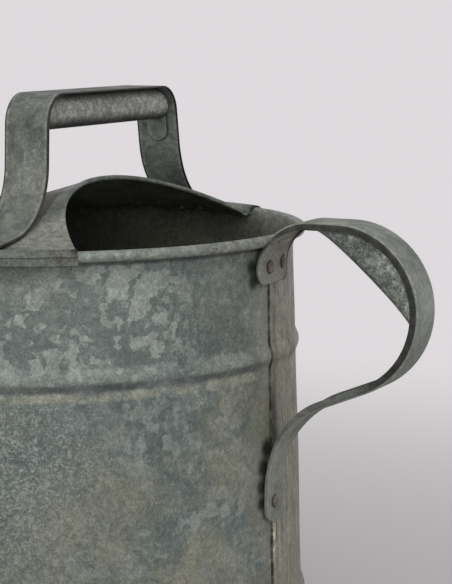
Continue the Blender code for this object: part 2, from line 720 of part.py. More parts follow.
# Spout
def spout_frame():
    """Its root on the wall, its direction, and two directions across it: sideways and upwards."""
    along = Vector((-math.cos(SPOUT_PITCH), 0.0, math.sin(SPOUT_PITCH)))
    upward = Vector((math.sin(SPOUT_PITCH), 0.0, math.cos(SPOUT_PITCH)))
    root = Vector((-wall_radius(SPOUT_ROOT), 0.0, SPOUT_ROOT))
    return root, along, Vector((0.0, 1.0, 0.0)), upward


def spout_radius(at):
    """Outer radius of the spout at a distance from the wall."""
    return SPOUT_ROOT_RADIUS + (SPOUT_TIP_RADIUS - SPOUT_ROOT_RADIUS) * at / SPOUT_LENGTH


def spout_point(turn, radius, at):
    """A point round the spout's axis, at a distance along it from the wall."""
    root, along, side, upward = spout_frame()
    return root + along * at + (side * math.cos(turn) + upward * math.sin(turn)) * radius


def saddle_point(turn, radius, off):
    """Where a line along the spout meets the wall, held off from it."""
    low = -2.0 * SPOUT_ROOT_RADIUS
    high = 2.0 * SPOUT_ROOT_RADIUS
    for _ in range(40):
        at = (low + high) / 2.0
        point = spout_point(turn, radius, at)
        if math.hypot(point.x, point.y) < wall_radius(point.z) + off:
            low = at
        else:
            high = at
    return spout_point(turn, radius, at)


def spout_turns():
    """The angles of the spout's facets."""
    return [2.0 * math.pi * i / SPOUT_STEPS for i in range(SPOUT_STEPS)]


def make_spout(material):
    """A tapered tube with a flange against the wall and a rolled lip at its tip."""
    seat = GAP + SAG
    flange = [(-SHEET, 0.0), (SPOUT_FLANGE, 0.0), (SPOUT_FLANGE, SHEET), (SHEET, SHEET)]
    flange.append((-0.5 * SHEET, 3.0 * SHEET))
    loops = []
    for out, off in flange:
        loops.append([saddle_point(t, SPOUT_ROOT_RADIUS + out, seat + off) for t in spout_turns()])
    lip = [(0.0, 1.0), (LIP_PROUD, 0.75), (LIP_PROUD, 0.25), (0.0, 0.0)]
    for proud, back in lip:
        at = SPOUT_LENGTH - back * LIP_LENGTH
        loops.append([spout_point(t, spout_radius(at) + proud, at) for t in spout_turns()])
    loops.append([spout_point(t, SPOUT_TIP_RADIUS - SHEET, SPOUT_LENGTH) for t in spout_turns()])
    return finish("spout", skin(loops, ring=True), material)


def make_strainer_drills():
    """The ring pattern of holes in the wall behind the spout, cut by one set of drills."""
    outward = Vector((-1.0, 0.0, 0.0))
    drills = []
    for ring in range(STRAINER_RINGS):
        count = max(1, 6 * ring)
        for i in range(count):
            turn = 2.0 * math.pi * i / count
            y = ring * STRAINER_PITCH * math.cos(turn)
            z = SPOUT_ROOT + ring * STRAINER_PITCH * math.sin(turn)
            place = Vector((-wall_radius(z), y, z))
            name = f"strainer_{ring}_{i}"
            drills.append(make_drill(name, place, outward, STRAINER_DRILL, STRAINER_HOLE, STRAINER_SIDES))
    return drills


# Stay
def clip_place():
    """Distance along the spout at which the stay comes down on it."""
    lift = GAP + STRAP + GAP + STRAP / 2.0
    level = RIM_HEIGHT - STAY_LEVEL
    slope = (SPOUT_TIP_RADIUS - SPOUT_ROOT_RADIUS) / SPOUT_LENGTH
    rise = math.sin(SPOUT_PITCH) + slope * math.cos(SPOUT_PITCH)
    return (level - SPOUT_ROOT - (SPOUT_ROOT_RADIUS + lift) * math.cos(SPOUT_PITCH)) / rise


def stay_stations():
    """From its foot up the wall, out level, and bent to lie along the spout."""
    taper = math.atan((SPOUT_ROOT_RADIUS - SPOUT_TIP_RADIUS) / SPOUT_LENGTH)
    along = SPOUT_PITCH - taper
    level = RIM_HEIGHT - STAY_LEVEL
    turn = math.pi / 2.0 + LEAN
    foot = level - STAY_BEND * math.sin(turn) - STAY_FOOT
    start = Vector((-wall_radius(foot) - GAP - SAG - STRAP / 2.0, foot))
    after_bend = start.x + STAY_FOOT * math.sin(LEAN) - STAY_BEND * (math.cos(LEAN) + math.sin(LEAN))
    meet = clip_place()
    root, direction, _, upward = spout_frame()
    lift = spout_radius(meet) + GAP + STRAP + GAP + STRAP / 2.0
    landing = root + direction * meet + upward * lift
    run = abs(landing.x - after_bend) - STAY_BEND * math.tan(along / 2.0)
    moves = corner_runs(STAY_FOOT_ROUND) + [(STAY_FOOT - STAY_FOOT_ROUND, 0.0), (STAY_BEND, turn)]
    moves += [(run, 0.0), (STAY_BEND, -along), (STAY_END - STAY_END_ROUND, 0.0)]
    return trace(start, math.pi / 2.0 - LEAN, moves + corner_runs(STAY_END_ROUND)[::-1])


def stay_section(station, total):
    """The stay's section, flat where it lies on the wall and on the spout."""
    gone = station[2]
    width = rounded(rounded(STAY_WIDTH, gone, STAY_FOOT_ROUND), total - gone, STAY_END_ROUND)
    free = ease(gone, STAY_FOOT, STAY_FOOT + STAY_EDGE_EASE)
    free *= 1.0 - ease(gone, total - STAY_END - STAY_EDGE_EASE, total - STAY_END)
    return channel(width, STAY_EDGE * free, STRAP)


def stay_place(station, u, v):
    """The stay lies in the can's middle plane, its turned edges down, and hugs the wall at its foot."""
    place, heading, gone = station
    hug = 1.0 - ease(gone, STAY_FOOT, STAY_FOOT + 2.0 * STAY_BEND)
    bow = hug * (WALL_TOP_RADIUS - math.sqrt(WALL_TOP_RADIUS ** 2 - u ** 2))
    return Vector((place.x + v * math.sin(heading) + bow, u, place.y - v * math.cos(heading)))


def make_stay(material):
    """The strap that holds the spout off the wall."""
    stations = stay_stations()
    total = stations[-1][2]
    return strap("spout_stay", stations, lambda s: stay_section(s, total), stay_place, material)


def make_clip(material):
    """The band round the spout that the stay is soldered to."""
    first = clip_place() + (STAY_END - CLIP_WIDTH) / 2.0
    last = first + CLIP_WIDTH
    loops = []
    for at, lift in ((first, GAP), (last, GAP), (last, GAP + STRAP), (first, GAP + STRAP)):
        loops.append([spout_point(t, spout_radius(at) + lift, at) for t in spout_turns()])
    return finish("stay_clip", skin(loops, ring=True), material)


# The whole can
def build():
    """Clear the file and make every piece in its place."""
    for item in list(bpy.data.objects):
        bpy.data.objects.remove(item, do_unlink=True)
    zinc = metal("weathered_zinc", (0.165, 0.185, 0.172), 0.55, 0.6)
    strap_zinc = metal("handle_zinc", (0.21, 0.225, 0.20), 0.5, 0.6)
    steel = metal("dull_steel", (0.09, 0.085, 0.075), 0.6, 0.7)
    metal("cutter", (1.0, 0.0, 1.0), 0.5, 0.0)

    body = make_body(zinc)
    hood = make_hood(zinc)
    bail = make_bail(strap_zinc)
    rear = make_rear_strap(strap_zinc)
    stay = make_stay(strap_zinc)
    items = [body, make_wire(steel), make_base(zinc), hood, bail, make_grip(strap_zinc)]
    items += [make_tab(-1, strap_zinc), make_tab(1, strap_zinc), rear, make_palm(zinc)]
    items += [make_spout(zinc), stay, make_clip(strap_zinc)]

    drills = make_strainer_drills()
    for drill in drills:
        cut(body, drill)
    items += drills
    items += set_rivets(body, hood, bail, rear, stay, steel)
    place_on_origin(items)


def set_rivets(body, hood, bail, rear, stay, material):
    """Two rivets in the tongue, one in the heel, two in each foot of the bail and one in the stay."""
    made = []
    lift = SEAM_PROUD + GAP + STRAP + RIVET_SEAT
    grip = STRAP + GAP + 2.0 * SHEET + SEAM_PROUD + SAG
    for number, y in enumerate(TONGUE_RIVETS, 1):
        z = RIM_HEIGHT - TONGUE_RIVET_DROP
        angle = math.asin(y / WALL_TOP_RADIUS)
        place = polar(wall_radius(z) + lift, angle, z)
        outward = polar(1.0, angle, 0.0)
        made += rivet_through(f"tongue_rivet_{number}", place, outward, grip, (body, rear), material)
    z = rear_stations()[-1][0].y + HEEL_RIVET_RISE
    angle = math.asin(HEEL_SHIFT / wall_radius(z))
    place = polar(wall_radius(z) + lift, angle, z)
    made += rivet_through("heel_rivet", place, polar(1.0, angle, 0.0), grip, (body, rear), material)
    reach, seat, slope = foot_line()
    middle = (reach + BAIL_FOOT) / 2.0
    foot_top = seat - (middle - reach) * math.tan(slope) + STRAP / 2.0
    for side, word in ((-1.0, "left"), (1.0, "right")):
        for number, shift in enumerate((-BAIL_RIVET_SPREAD, BAIL_RIVET_SPREAD), 1):
            x = BAIL_X + shift
            place = Vector((x, side * middle, foot_top))
            grip = foot_top - hood_top(x, middle) + SHEET + GAP
            upward = Vector((0.0, side * math.sin(slope), math.cos(slope)))
            name = f"bail_rivet_{word}_{number}"
            made += rivet_through(name, place, upward, grip, (hood, bail), material)
    z = stay_stations()[0][0].y + STAY_RIVET_RISE
    place = Vector((-wall_radius(z) - SAG - GAP - STRAP - RIVET_SEAT, 0.0, z))
    grip = STRAP + GAP + SAG + SHEET + GAP
    made += rivet_through("stay_rivet", place, Vector((-1.0, 0.0, 0.0)), grip, (body, stay), material)
    return made


def place_on_origin(items):
    """Carry everything on one empty, and slide it so that the outline's middle stands over the origin."""
    axis = bpy.data.objects.new("can_axis", None)
    bpy.context.collection.objects.link(axis)
    reach = [corner.co.x for item in items if not item.hide_render for corner in item.data.vertices]
    axis.location.x = -(min(reach) + max(reach)) / 2.0
    for item in items:
        item.parent = axis
    print("can axis at", round(axis.location.x, 6))


build()
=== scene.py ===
# %% [markdown]
# # A weathered galvanised watering can
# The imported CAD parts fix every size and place. In this lesson each visible piece is made again as a sheet
# metal worker would leave it, with soft folds, rolled edges and small dents, and gets a finish of old zinc.

# %% Load the fixed frame
import math

import bpy
from mathutils import Matrix, Vector, noise


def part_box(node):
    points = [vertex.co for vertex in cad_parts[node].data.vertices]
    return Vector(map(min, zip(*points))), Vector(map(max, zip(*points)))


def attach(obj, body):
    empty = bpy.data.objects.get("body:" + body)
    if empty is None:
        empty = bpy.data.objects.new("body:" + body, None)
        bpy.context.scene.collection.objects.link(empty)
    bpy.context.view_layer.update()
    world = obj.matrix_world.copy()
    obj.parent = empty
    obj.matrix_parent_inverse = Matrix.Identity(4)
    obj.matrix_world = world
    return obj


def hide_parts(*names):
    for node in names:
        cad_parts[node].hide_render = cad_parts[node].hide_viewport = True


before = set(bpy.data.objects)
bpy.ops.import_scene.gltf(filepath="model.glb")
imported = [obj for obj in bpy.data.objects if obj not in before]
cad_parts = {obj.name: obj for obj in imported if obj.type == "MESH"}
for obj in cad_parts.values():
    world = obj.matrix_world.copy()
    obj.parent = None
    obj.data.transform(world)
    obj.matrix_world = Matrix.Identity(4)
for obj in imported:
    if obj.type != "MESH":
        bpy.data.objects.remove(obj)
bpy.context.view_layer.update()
print("CAD nodes:", len(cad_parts))

# %% [markdown]
# ## Where the can stands
# The wire in the rim is a full circle, so the middle of its box is the can's own axis and the height of its
# rim. All other sizes are those of the CAD model, in millimetres.

# %% Sizes of the sheet, the wall and the rim
MM = 0.001
wire_low, wire_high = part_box("rim_wire")
AXIS = Vector(((wire_low.x + wire_high.x) / 2.0, 0.0, 0.0))
RIM_HEIGHT = (wire_low.z + wire_high.z) / 2.0
SHEET = 0.75 * MM
STRAP = 1.0 * MM
GAP = 0.3 * MM
RIM_RADIUS = 135.0 * MM
WALL_TOP_RADIUS = 131.3 * MM
WALL_FOOT_RADIUS = 138.3 * MM
FLARE = 9.0 * MM
TAPER = (WALL_FOOT_RADIUS - WALL_TOP_RADIUS) / (RIM_HEIGHT - FLARE)
LEAN = math.atan(TAPER)
ROLL_INSIDE = 1.9 * MM
ROLL_OUTSIDE = 2.65 * MM
print("axis at x", round(AXIS.x, 5), "rim at z", round(RIM_HEIGHT, 5))

# %% [markdown]
# ## Two ways to make a piece
# Sheet pieces start as a flat grid that is bent into shape, as real sheet is: a small function says where
# each corner of the grid goes. Round pieces start as a circle that is extruded and widened ring by ring, as
# on a lathe. Both ways end with merged seams, closed ends and normals that face outwards.

# %% Start from a clean selection
def deselect():
    """Leave edit mode and select nothing."""
    if bpy.context.object and bpy.context.object.mode != "OBJECT":
        bpy.ops.object.mode_set(mode="OBJECT")
    bpy.ops.object.select_all(action="DESELECT")


def hold(piece):
    """Make one piece the only selected and active one."""
    deselect()
    piece.select_set(True)
    bpy.context.view_layer.objects.active = piece


# %% Close a shell
def close_up(piece, fill=True):
    """Merge doubled corners, fill open ends and turn all faces outwards."""
    hold(piece)
    bpy.ops.object.mode_set(mode="EDIT")
    bpy.ops.mesh.select_all(action="SELECT")
    bpy.ops.mesh.remove_doubles(threshold=0.00001)
    if fill:
        bpy.ops.mesh.fill_holes(sides=0)
    bpy.ops.mesh.select_all(action="SELECT")
    bpy.ops.mesh.normals_make_consistent(inside=False)
    bpy.ops.object.mode_set(mode="OBJECT")


# %% Bend a grid into a sheet piece
def formed(name, columns, rows, place, trail=None):
    """A grid whose corners go where place says, from their shares along and across."""
    deselect()
    bpy.ops.mesh.primitive_grid_add(x_subdivisions=columns - 1, y_subdivisions=rows - 1, size=1.0)
    piece = bpy.context.object
    piece.name = name
    shares = [(corner.co.x + 0.5, corner.co.y + 0.5) for corner in piece.data.vertices]
    if trail:
        marks = [trail(u, v) for u, v in shares]
        for number, word in enumerate(("edge", "painted_shade")):
            layer = piece.data.attributes.new(word, "FLOAT", "POINT")
            layer.data.foreach_set("value", [mark[number] for mark in marks])
    for corner, (u, v) in zip(piece.data.vertices, shares):
        corner.co = AXIS + place(u, v)
    close_up(piece)
    print(name, len(piece.data.polygons), "faces")
    return piece


# %% Turn a round piece from a circle
def turned(name, profile, steps, capped=True):
    """A circle extruded through (radius, height) pairs, round the upright through the origin."""
    deselect()
    radius, height = profile[0]
    bpy.ops.mesh.primitive_circle_add(vertices=steps, radius=radius, location=(0.0, 0.0, height))
    piece = bpy.context.object
    piece.name = name
    bpy.ops.object.transform_apply(location=True, rotation=True, scale=True)
    bpy.ops.object.mode_set(mode="EDIT")
    bpy.ops.mesh.select_all(action="SELECT")
    for following, level in profile[1:]:
        bpy.ops.mesh.extrude_edges_move(TRANSFORM_OT_translate={"value": (0.0, 0.0, level - height)})
        grow = following / radius
        bpy.ops.transform.resize(value=(grow, grow, 1.0), center_override=(0.0, 0.0, level))
        radius, height = following, level
    bpy.ops.object.mode_set(mode="OBJECT")
    close_up(piece, capped)
    return piece


# %% Put a finished piece on the frame
pieces_made = []


def settle(piece, material, slot, *nodes, fold=40.0):
    """Shade a piece, give it its finish and let it stand for its CAD nodes."""
    hold(piece)
    bpy.ops.object.shade_smooth_by_angle(angle=math.radians(fold))
    if not piece.data.materials:
        piece.data.materials.append(material)
    if nodes:
        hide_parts(*nodes)
    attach(piece, "root")
    pieces_made.append(piece.name)
    return piece


# %% Small sums that many pieces use
def ease(value, low, high):
    """0 below low, 1 above high, and a smooth rise between."""
    share = min(1.0, max(0.0, (value - low) / (high - low)))
    return share * share * (3.0 - 2.0 * share)


def spaced(first, last, steps):
    """Evenly spaced values, both ends included."""
    return [first + (last - first) * i / steps for i in range(steps + 1)]


def polar(radius, angle, z):
    """A point at a radius and an angle round the can's axis."""
    return Vector((radius * math.cos(angle), radius * math.sin(angle), z))


def uneven(point, size, amount, seed=0.0):
    """A smooth random value about 0, the same on every run."""
    return amount * noise.noise(point / size + Vector((seed, 2.0 * seed, 0.5 * seed)))


# %% [markdown]
# ## Zinc that has stood outdoors
# Hot dipped zinc starts with a pattern of flat crystals. Rain turns it dull, and lime, soil and hands leave
# blotches at every scale. So the finish is a stack of noise layers from the size of a hand down to a grain of
# sand, with crystals that show through in places, and the same layers move the roughness and the bump. One
# material is made at a time, and its node tree lies on the bench for every helper to add to.

# %% Colours and nodes in short
bench = {"tree": None}


def tint(red, green, blue):
    """A colour picked on a screen, 0 to 255, as Blender's linear values."""
    linear = []
    for value in (red, green, blue):
        share = value / 255.0
        linear.append(share / 12.92 if share <= 0.04045 else ((share + 0.055) / 1.055) ** 2.4)
    return (*linear, 1.0)


def put(socket, value):
    """Link or set one socket."""
    if isinstance(value, bpy.types.NodeSocket):
        bench["tree"].links.new(value, socket)
    else:
        socket.default_value = value


def add(kind, settings=None, **sockets):
    """A node in the tree that is on the bench, with its settings made and its sockets set or linked."""
    node = bench["tree"].nodes.new(kind)
    for word, value in (settings or {}).items():
        setattr(node, word, value)
    for word, value in sockets.items():
        put(node.inputs[word.replace("_", " ")], value)
    return node


# %% Layers to mix with

def over(share, lower, upper, how="MIX"):
    """One colour laid over another."""
    node = add("ShaderNodeMix", {"data_type": "RGBA", "blend_type": how})
    put(node.inputs[0], share)
    put(node.inputs[6], lower)
    put(node.inputs[7], upper)
    return node.outputs[2]


def sums(how, first, second=0.0, clamp=False):
    """One Math node."""
    node = add("ShaderNodeMath", {"operation": how, "use_clamp": clamp})
    put(node.inputs[0], first)
    put(node.inputs[1], second)
    return node.outputs[0]


def between(value, low, high, bottom=0.0, top=1.0):
    """A value mapped from one range to another and kept inside it."""
    node = add("ShaderNodeMapRange", {"interpolation_type": "SMOOTHSTEP"})
    put(node.inputs["Value"], value)
    for word, number in (("From Min", low), ("From Max", high), ("To Min", bottom), ("To Max", top)):
        node.inputs[word].default_value = number
    return node.outputs[0]


# %% Patterns
def patches(place, scale, low, high, detail=5.0, rough=0.6, warp=0.0):
    """Soft or hard edged patches of noise."""
    node = add("ShaderNodeTexNoise", Vector=place, Scale=scale, Detail=detail, Roughness=rough, Distortion=warp)
    return between(node.outputs["Fac"], low, high)


def moved(place, shift=(0.0, 0.0, 0.0), turn=(0.0, 0.0, 0.0), scale=(1.0, 1.0, 1.0)):
    """The same pattern somewhere else, turned or stretched."""
    return add("ShaderNodeMapping", Vector=place, Location=shift, Rotation=turn, Scale=scale).outputs[0]


def from_axis(here):
    """Coordinates counted from the can's own axis."""
    return moved(here, shift=(-AXIS.x, 0.0, 0.0))


def crystals(place, scale, low, high, warp=0.25):
    """Angular flakes: whole cells that are lighter than others."""
    shake = add("ShaderNodeTexNoise", Vector=place, Scale=scale * 2.2, Detail=3.0, Roughness=0.6)
    bent = add("ShaderNodeMix", {"data_type": "RGBA", "blend_type": "LINEAR_LIGHT"})
    bent.inputs[0].default_value = warp / scale
    put(bent.inputs[6], place)
    put(bent.inputs[7], shake.outputs["Color"])
    cells = add("ShaderNodeTexVoronoi", Vector=bent.outputs[2], Scale=scale, Randomness=1.0)
    pick = add("ShaderNodeSeparateColor", Color=cells.outputs["Color"])
    return between(pick.outputs[0], low, high)


# %% Marks that sit at one place
def near(here, point, reach):
    """1 close to a point given from the can's axis in millimetres, fading to 0 at a reach."""
    gap = add("ShaderNodeVectorMath", {"operation": "DISTANCE"}, Vector=here)
    gap.inputs[1].default_value = AXIS + Vector(point) * MM
    return between(gap.outputs["Value"], reach * MM, 0.3 * reach * MM)


def band(value, middle, full, none):
    """1 within full of a middle value, 0 beyond none."""
    return between(sums("ABSOLUTE", sums("SUBTRACT", value, middle)), none, full)


def product(*shares):
    """Several shares multiplied."""
    result = shares[0]
    for share in shares[1:]:
        result = sums("MULTIPLY", result, share)
    return result


def lay_colour(colour, shade, *shares):
    """A screen colour laid over another by several shares multiplied."""
    return over(product(*shares), colour, tint(*shade))


def grey(value):
    """A value as a grey colour."""
    return add("ShaderNodeCombineColor", Red=value, Green=value, Blue=value).outputs[0]


def crackle(place, scale):
    """Short wandering light marks, as on crystals that have weathered through."""
    return patches(place, scale, 0.49, 0.58, 3.0, 0.62, 1.6)


# %% The zinc itself
ROUGHNESS = 0.56


def zinc(name, tones, warm_share, flakes, grain, seed, extra=None):
    """Weathered zinc from a dark, a middle, a light and a warm tone. extra may lay marks over the colour."""
    dark, middle, light, warm = (tint(*tone) for tone in tones)
    made = bpy.data.materials.new(name)
    made.use_nodes = True
    tree = bench["tree"] = made.node_tree
    shader = tree.nodes["Principled BSDF"]
    here = add("ShaderNodeTexCoord").outputs["Object"]
    place = moved(here, shift=(seed, 0.7 * seed, 1.3 * seed))
    big = patches(place, 13.0, 0.38, 0.62, 5.0, 0.6, 0.4)
    colour = over(big, dark, middle)
    mid = patches(place, 45.0, 0.44, 0.62, 6.0, 0.62, 0.5)
    colour = over(product(mid, 0.32), colour, light)
    where = patches(moved(place, shift=(3.0, 1.0, 2.0)), 15.0, 0.46, 0.56, 3.0)
    large = product(crystals(place, 150.0, 0.70, 0.73, 0.3), where)
    small = product(crystals(moved(place, shift=(2.0, 4.0, 1.0)), 380.0, 0.66, 0.70, 0.3), mid)
    shapes = product(sums("MAXIMUM", large, product(small, 0.75)), flakes)
    colour = over(shapes, colour, light)
    soil = patches(moved(place, shift=(1.0, 5.0, 3.0)), 9.0, 0.40, 0.68, 6.0, 0.65, 0.5)
    colour = over(product(soil, warm_share), colour, warm)
    if extra:
        colour = extra(here, colour)
    speck = patches(place, 330.0, 0.34, 0.70, 5.0, 0.7, 0.3)
    colour = over(0.30 * grain, colour, grey(speck), "OVERLAY")
    sand = patches(place, 1100.0, 0.30, 0.72, 2.0, 0.6)
    colour = over(0.26 * grain, colour, grey(sand), "OVERLAY")
    tree.links.new(colour, shader.inputs["Base Color"])
    shine = between(sums("ADD", big, mid), 0.2, 1.7, ROUGHNESS + 0.12, ROUGHNESS - 0.08)
    tree.links.new(shine, shader.inputs["Roughness"])
    shader.inputs["Metallic"].default_value = 0.25
    shader.inputs["Specular IOR Level"].default_value = 0.4
    height = sums("ADD", product(speck, 0.7), product(sand, 0.4))
    height = sums("ADD", height, product(shapes, 0.5))
    bump = add("ShaderNodeBump", Height=height, Strength=0.3, Distance=0.0004)
    tree.links.new(bump.outputs[0], shader.inputs["Normal"])
    print("finish", name, len(tree.nodes), "nodes")
    return made


# %% [markdown]
# ## What the wall adds to the zinc
# The wall has its own history: the lap seam behind is a dark crack with pale solder beside it, and khaki soil
# has dried on the lower part and towards the seam. Over that lie a painted highlight on each swaged bead's
# crest, painted shade on its lower flank, and painted shadows beside the rear handle's tongue and heel; the
# wall is also darker just under the rim's curl.

# %% Where the seam runs
SEAM_ANGLE = math.radians(-2.5)
SEAM_SLANT = 2.8 / 122.0
SEAM_LEVEL = 104.0 * MM
SEAM_PROUD = 0.8 * MM
SEAM_EASE = math.radians(20.0)
BEAD_HALF = 6.5 * MM
BEAD_PROUD = 1.8 * MM
BEAD_LEVELS = (RIM_HEIGHT - 56.5 * MM, 59.5 * MM)


def seam_distance(here):
    """Distance round the wall from the slightly slanting and wandering seam."""
    level = add("ShaderNodeSeparateXYZ", Vector=here).outputs[2]
    off = add("ShaderNodeVectorMath", {"operation": "DOT_PRODUCT"}, Vector=from_axis(here))
    off.inputs[1].default_value = (-math.sin(SEAM_ANGLE), math.cos(SEAM_ANGLE), 0.0)
    slant = product(sums("SUBTRACT", level, SEAM_LEVEL), SEAM_SLANT)
    upright = moved(here, scale=(0.0, 0.0, 1.0))
    wander = add("ShaderNodeTexNoise", Vector=upright, Scale=90.0, Detail=5.0, Roughness=0.6)
    drift = product(sums("SUBTRACT", wander.outputs["Fac"], 0.5), 2.2 * MM)
    return sums("ADD", sums("SUBTRACT", off.outputs["Value"], slant), drift)


# %% Flakes, crackle and khaki on the front of the wall
def front_marks(here, colour, z):
    """A cluster of big flakes under the rim, crackle to the left and khaki dust low down."""
    cluster = sums("MAXIMUM", near(here, (97, -89, 212), 58), near(here, (62, -116, 210), 34))
    chunk = crystals(moved(here, shift=(0.4, 0.1, 0.7)), 140.0, 0.74, 0.752, 0.34)
    chip = crystals(moved(here, shift=(0.9, 0.5, 0.2)), 330.0, 0.84, 0.855, 0.34)
    colour = lay_colour(colour, (98, 108, 106), cluster, 0.72)
    colour = lay_colour(colour, (146, 153, 146), sums("MAXIMUM", chunk, product(chip, 0.8)), cluster, 0.85)
    left = sums("MAXIMUM", near(here, (58, -119, 140), 74), near(here, (20, -130, 90), 90))
    colour = lay_colour(colour, (76, 86, 85), left, 0.68)
    lines = crackle(here, 430.0)
    colour = lay_colour(colour, (146, 153, 147), lines, left, 0.66)
    fine = crackle(moved(here, shift=(1.0, 2.0, 3.0)), 700.0)
    colour = lay_colour(colour, (150, 153, 142), fine, patches(here, 30.0, 0.40, 0.58), 0.34)
    veil = sums("MAXIMUM", near(here, (112, -75, 110), 74), near(here, (130, -30, 150), 58))
    soil = patches(here, 24.0, 0.34, 0.62, 6.0, 0.66, 0.6)
    colour = lay_colour(colour, (138, 136, 118), soil, veil, 0.62)
    low = between(z, 0.205, 0.05)
    return lay_colour(colour, (126, 124, 108), soil, low, 0.42)


# %% Beads and rim
def ring_marks(here, colour, z):
    """A painted highlight on each bead's crest and painted shade on its lower flank, and a worn rim that is
    darker just under it.
    """
    broken = patches(here, 90.0, 0.30, 0.62)
    chips = patches(here, 300.0, 0.46, 0.60, 4.0, 0.7)
    for level in BEAD_LEVELS:
        # Painted highlight on the upper flank and crest of each bead, where light from above falls.
        painted_crest_highlight = product(band(z, level + 2.2 * MM, 2.2 * MM, 4.6 * MM), broken)
        colour = lay_colour(colour, (142, 148, 141), painted_crest_highlight, 0.50)
        lower = product(band(z, level - 7.6 * MM, 0.8 * MM, 3.2 * MM), broken)
        colour = lay_colour(colour, (160, 158, 142), lower, 0.60)
        # Painted shade on the lower flank of each bead, which faces down.
        painted_flank_shade = product(band(z, level - 3.3 * MM, 0.7 * MM, 2.4 * MM), sums("ADD", product(broken, 0.6), 0.4))
        colour = lay_colour(colour, (62, 68, 65), painted_flank_shade, 0.55)
    top = between(z, RIM_HEIGHT - 2.6 * MM, RIM_HEIGHT - 1.6 * MM)
    colour = lay_colour(colour, (126, 130, 122), top, 0.45)
    colour = lay_colour(colour, (168, 168, 156), top, chips, 0.42)
    pits = patches(moved(here, shift=(2.0, 0.0, 1.0)), 240.0, 0.60, 0.66, 4.0, 0.7)
    colour = lay_colour(colour, (66, 60, 50), top, pits, 0.7)
    # Darker just under the rim's curl.
    under = band(z, RIM_HEIGHT - 3.4 * MM, 0.6 * MM, 1.6 * MM)
    return lay_colour(colour, (50, 53, 50), under, 0.6)


# %% The seam behind
def seam_marks(here, colour, x, z):
    """Streaks beside the lap, a brown stain, painted shadows by the rear handle, the crack itself and flakes of
    old solder.
    """
    side = seam_distance(here)
    behind = between(x, 0.10, 0.11)
    drawn = moved(here, scale=(1.0, 1.0, 0.045))
    streak = add("ShaderNodeTexNoise", Vector=drawn, Scale=520.0, Detail=5.0, Roughness=0.7)
    lines = between(streak.outputs["Fac"], 0.40, 0.62)
    strip = product(between(side, -14.0 * MM, 0.0), between(side, 70.0 * MM, 40.0 * MM), behind)
    colour = lay_colour(colour, (132, 131, 117), strip, 0.55)
    right = product(between(side, -0.2 * MM, 0.4 * MM), between(side, 60.0 * MM, 30.0 * MM), behind)
    colour = lay_colour(colour, (164, 160, 142), right, lines, 0.62)
    dark_lines = between(streak.outputs["Fac"], 0.45, 0.34)
    colour = lay_colour(colour, (82, 74, 60), right, dark_lines, 0.6)
    rust = patches(moved(here, scale=(1.0, 1.0, 0.25)), 200.0, 0.36, 0.60, 6.0, 0.7)
    beside = product(between(side, 0.2 * MM, 1.0 * MM), between(side, 9.0 * MM, 4.0 * MM), behind)
    upper = between(z, 0.15, 0.175)
    colour = lay_colour(colour, (92, 80, 62), beside, rust, upper, 0.60)
    damp = product(beside, near(here, (134, 3, 158), 24), 0.9)
    colour = lay_colour(colour, (48, 44, 38), damp)
    # Painted shadow: near black spots along the left edges of the rear handle's tongue and heel, where the
    # strap stands off the wall.
    painted_shadows = [((131.2, -18.5, 234), 6), ((131.2, -17.5, 227), 6), ((133.6, -15.2, 119), 5)]
    for spot, reach in painted_shadows + [((133.6, -14.6, 127), 6), ((133.6, -12.6, 136), 7), ((133.7, -9.0, 145), 7)]:
        colour = lay_colour(colour, (22, 24, 22), near(here, spot, reach), 0.9)
    solder = product(band(side, 1.5 * MM, 0.8 * MM, 2.4 * MM), behind, between(z, 0.131, 0.125))
    chips = patches(here, 300.0, 0.47, 0.53, 3.0)
    colour = lay_colour(colour, (214, 207, 180), solder, chips, between(z, 0.086, 0.098))
    worn = sums("ADD", product(patches(moved(here, scale=(0.0, 0.0, 1.0)), 160.0, 0.36, 0.6), 0.5), 0.5)
    crack = product(band(side, 0.0, 0.35 * MM, 0.95 * MM), behind, worn)
    return lay_colour(colour, (34, 29, 23), crack, 0.95)


# %% All marks on the wall
def wall_marks(here, colour):
    """The wall's own history, laid over its zinc."""
    parts = add("ShaderNodeSeparateXYZ", Vector=from_axis(here))
    x, z = parts.outputs[0], parts.outputs[2]
    colour = front_marks(here, colour, z)
    colour = ring_marks(here, colour, z)
    return seam_marks(here, colour, x, z)


# %% [markdown]
# ## What the hood and the straps add
# Beside the handle's foot the hood gets a painted shadow of the near leg, and painted light on the lit flank
# beside it. Its hem has a dark line along its crease, rust at its cut end, and painted shadow at its cut ends.
# On the straps, painted shade darkens the turned edges, with a painted highlight just inside them. A strap's
# own marks, kept on its corners as attributes, say how near an edge each place is and how much painted shade
# that edge gets. The inside of the can has painted shade, darkest under the hood.

# %% Marks inside the can and on the hood
def inside_shade(here, colour):
    """Painted shade inside the can, darkest under the hood."""
    return lay_colour(colour, (50, 52, 48), near(here, (-70, 100, 215), 105), 0.85)


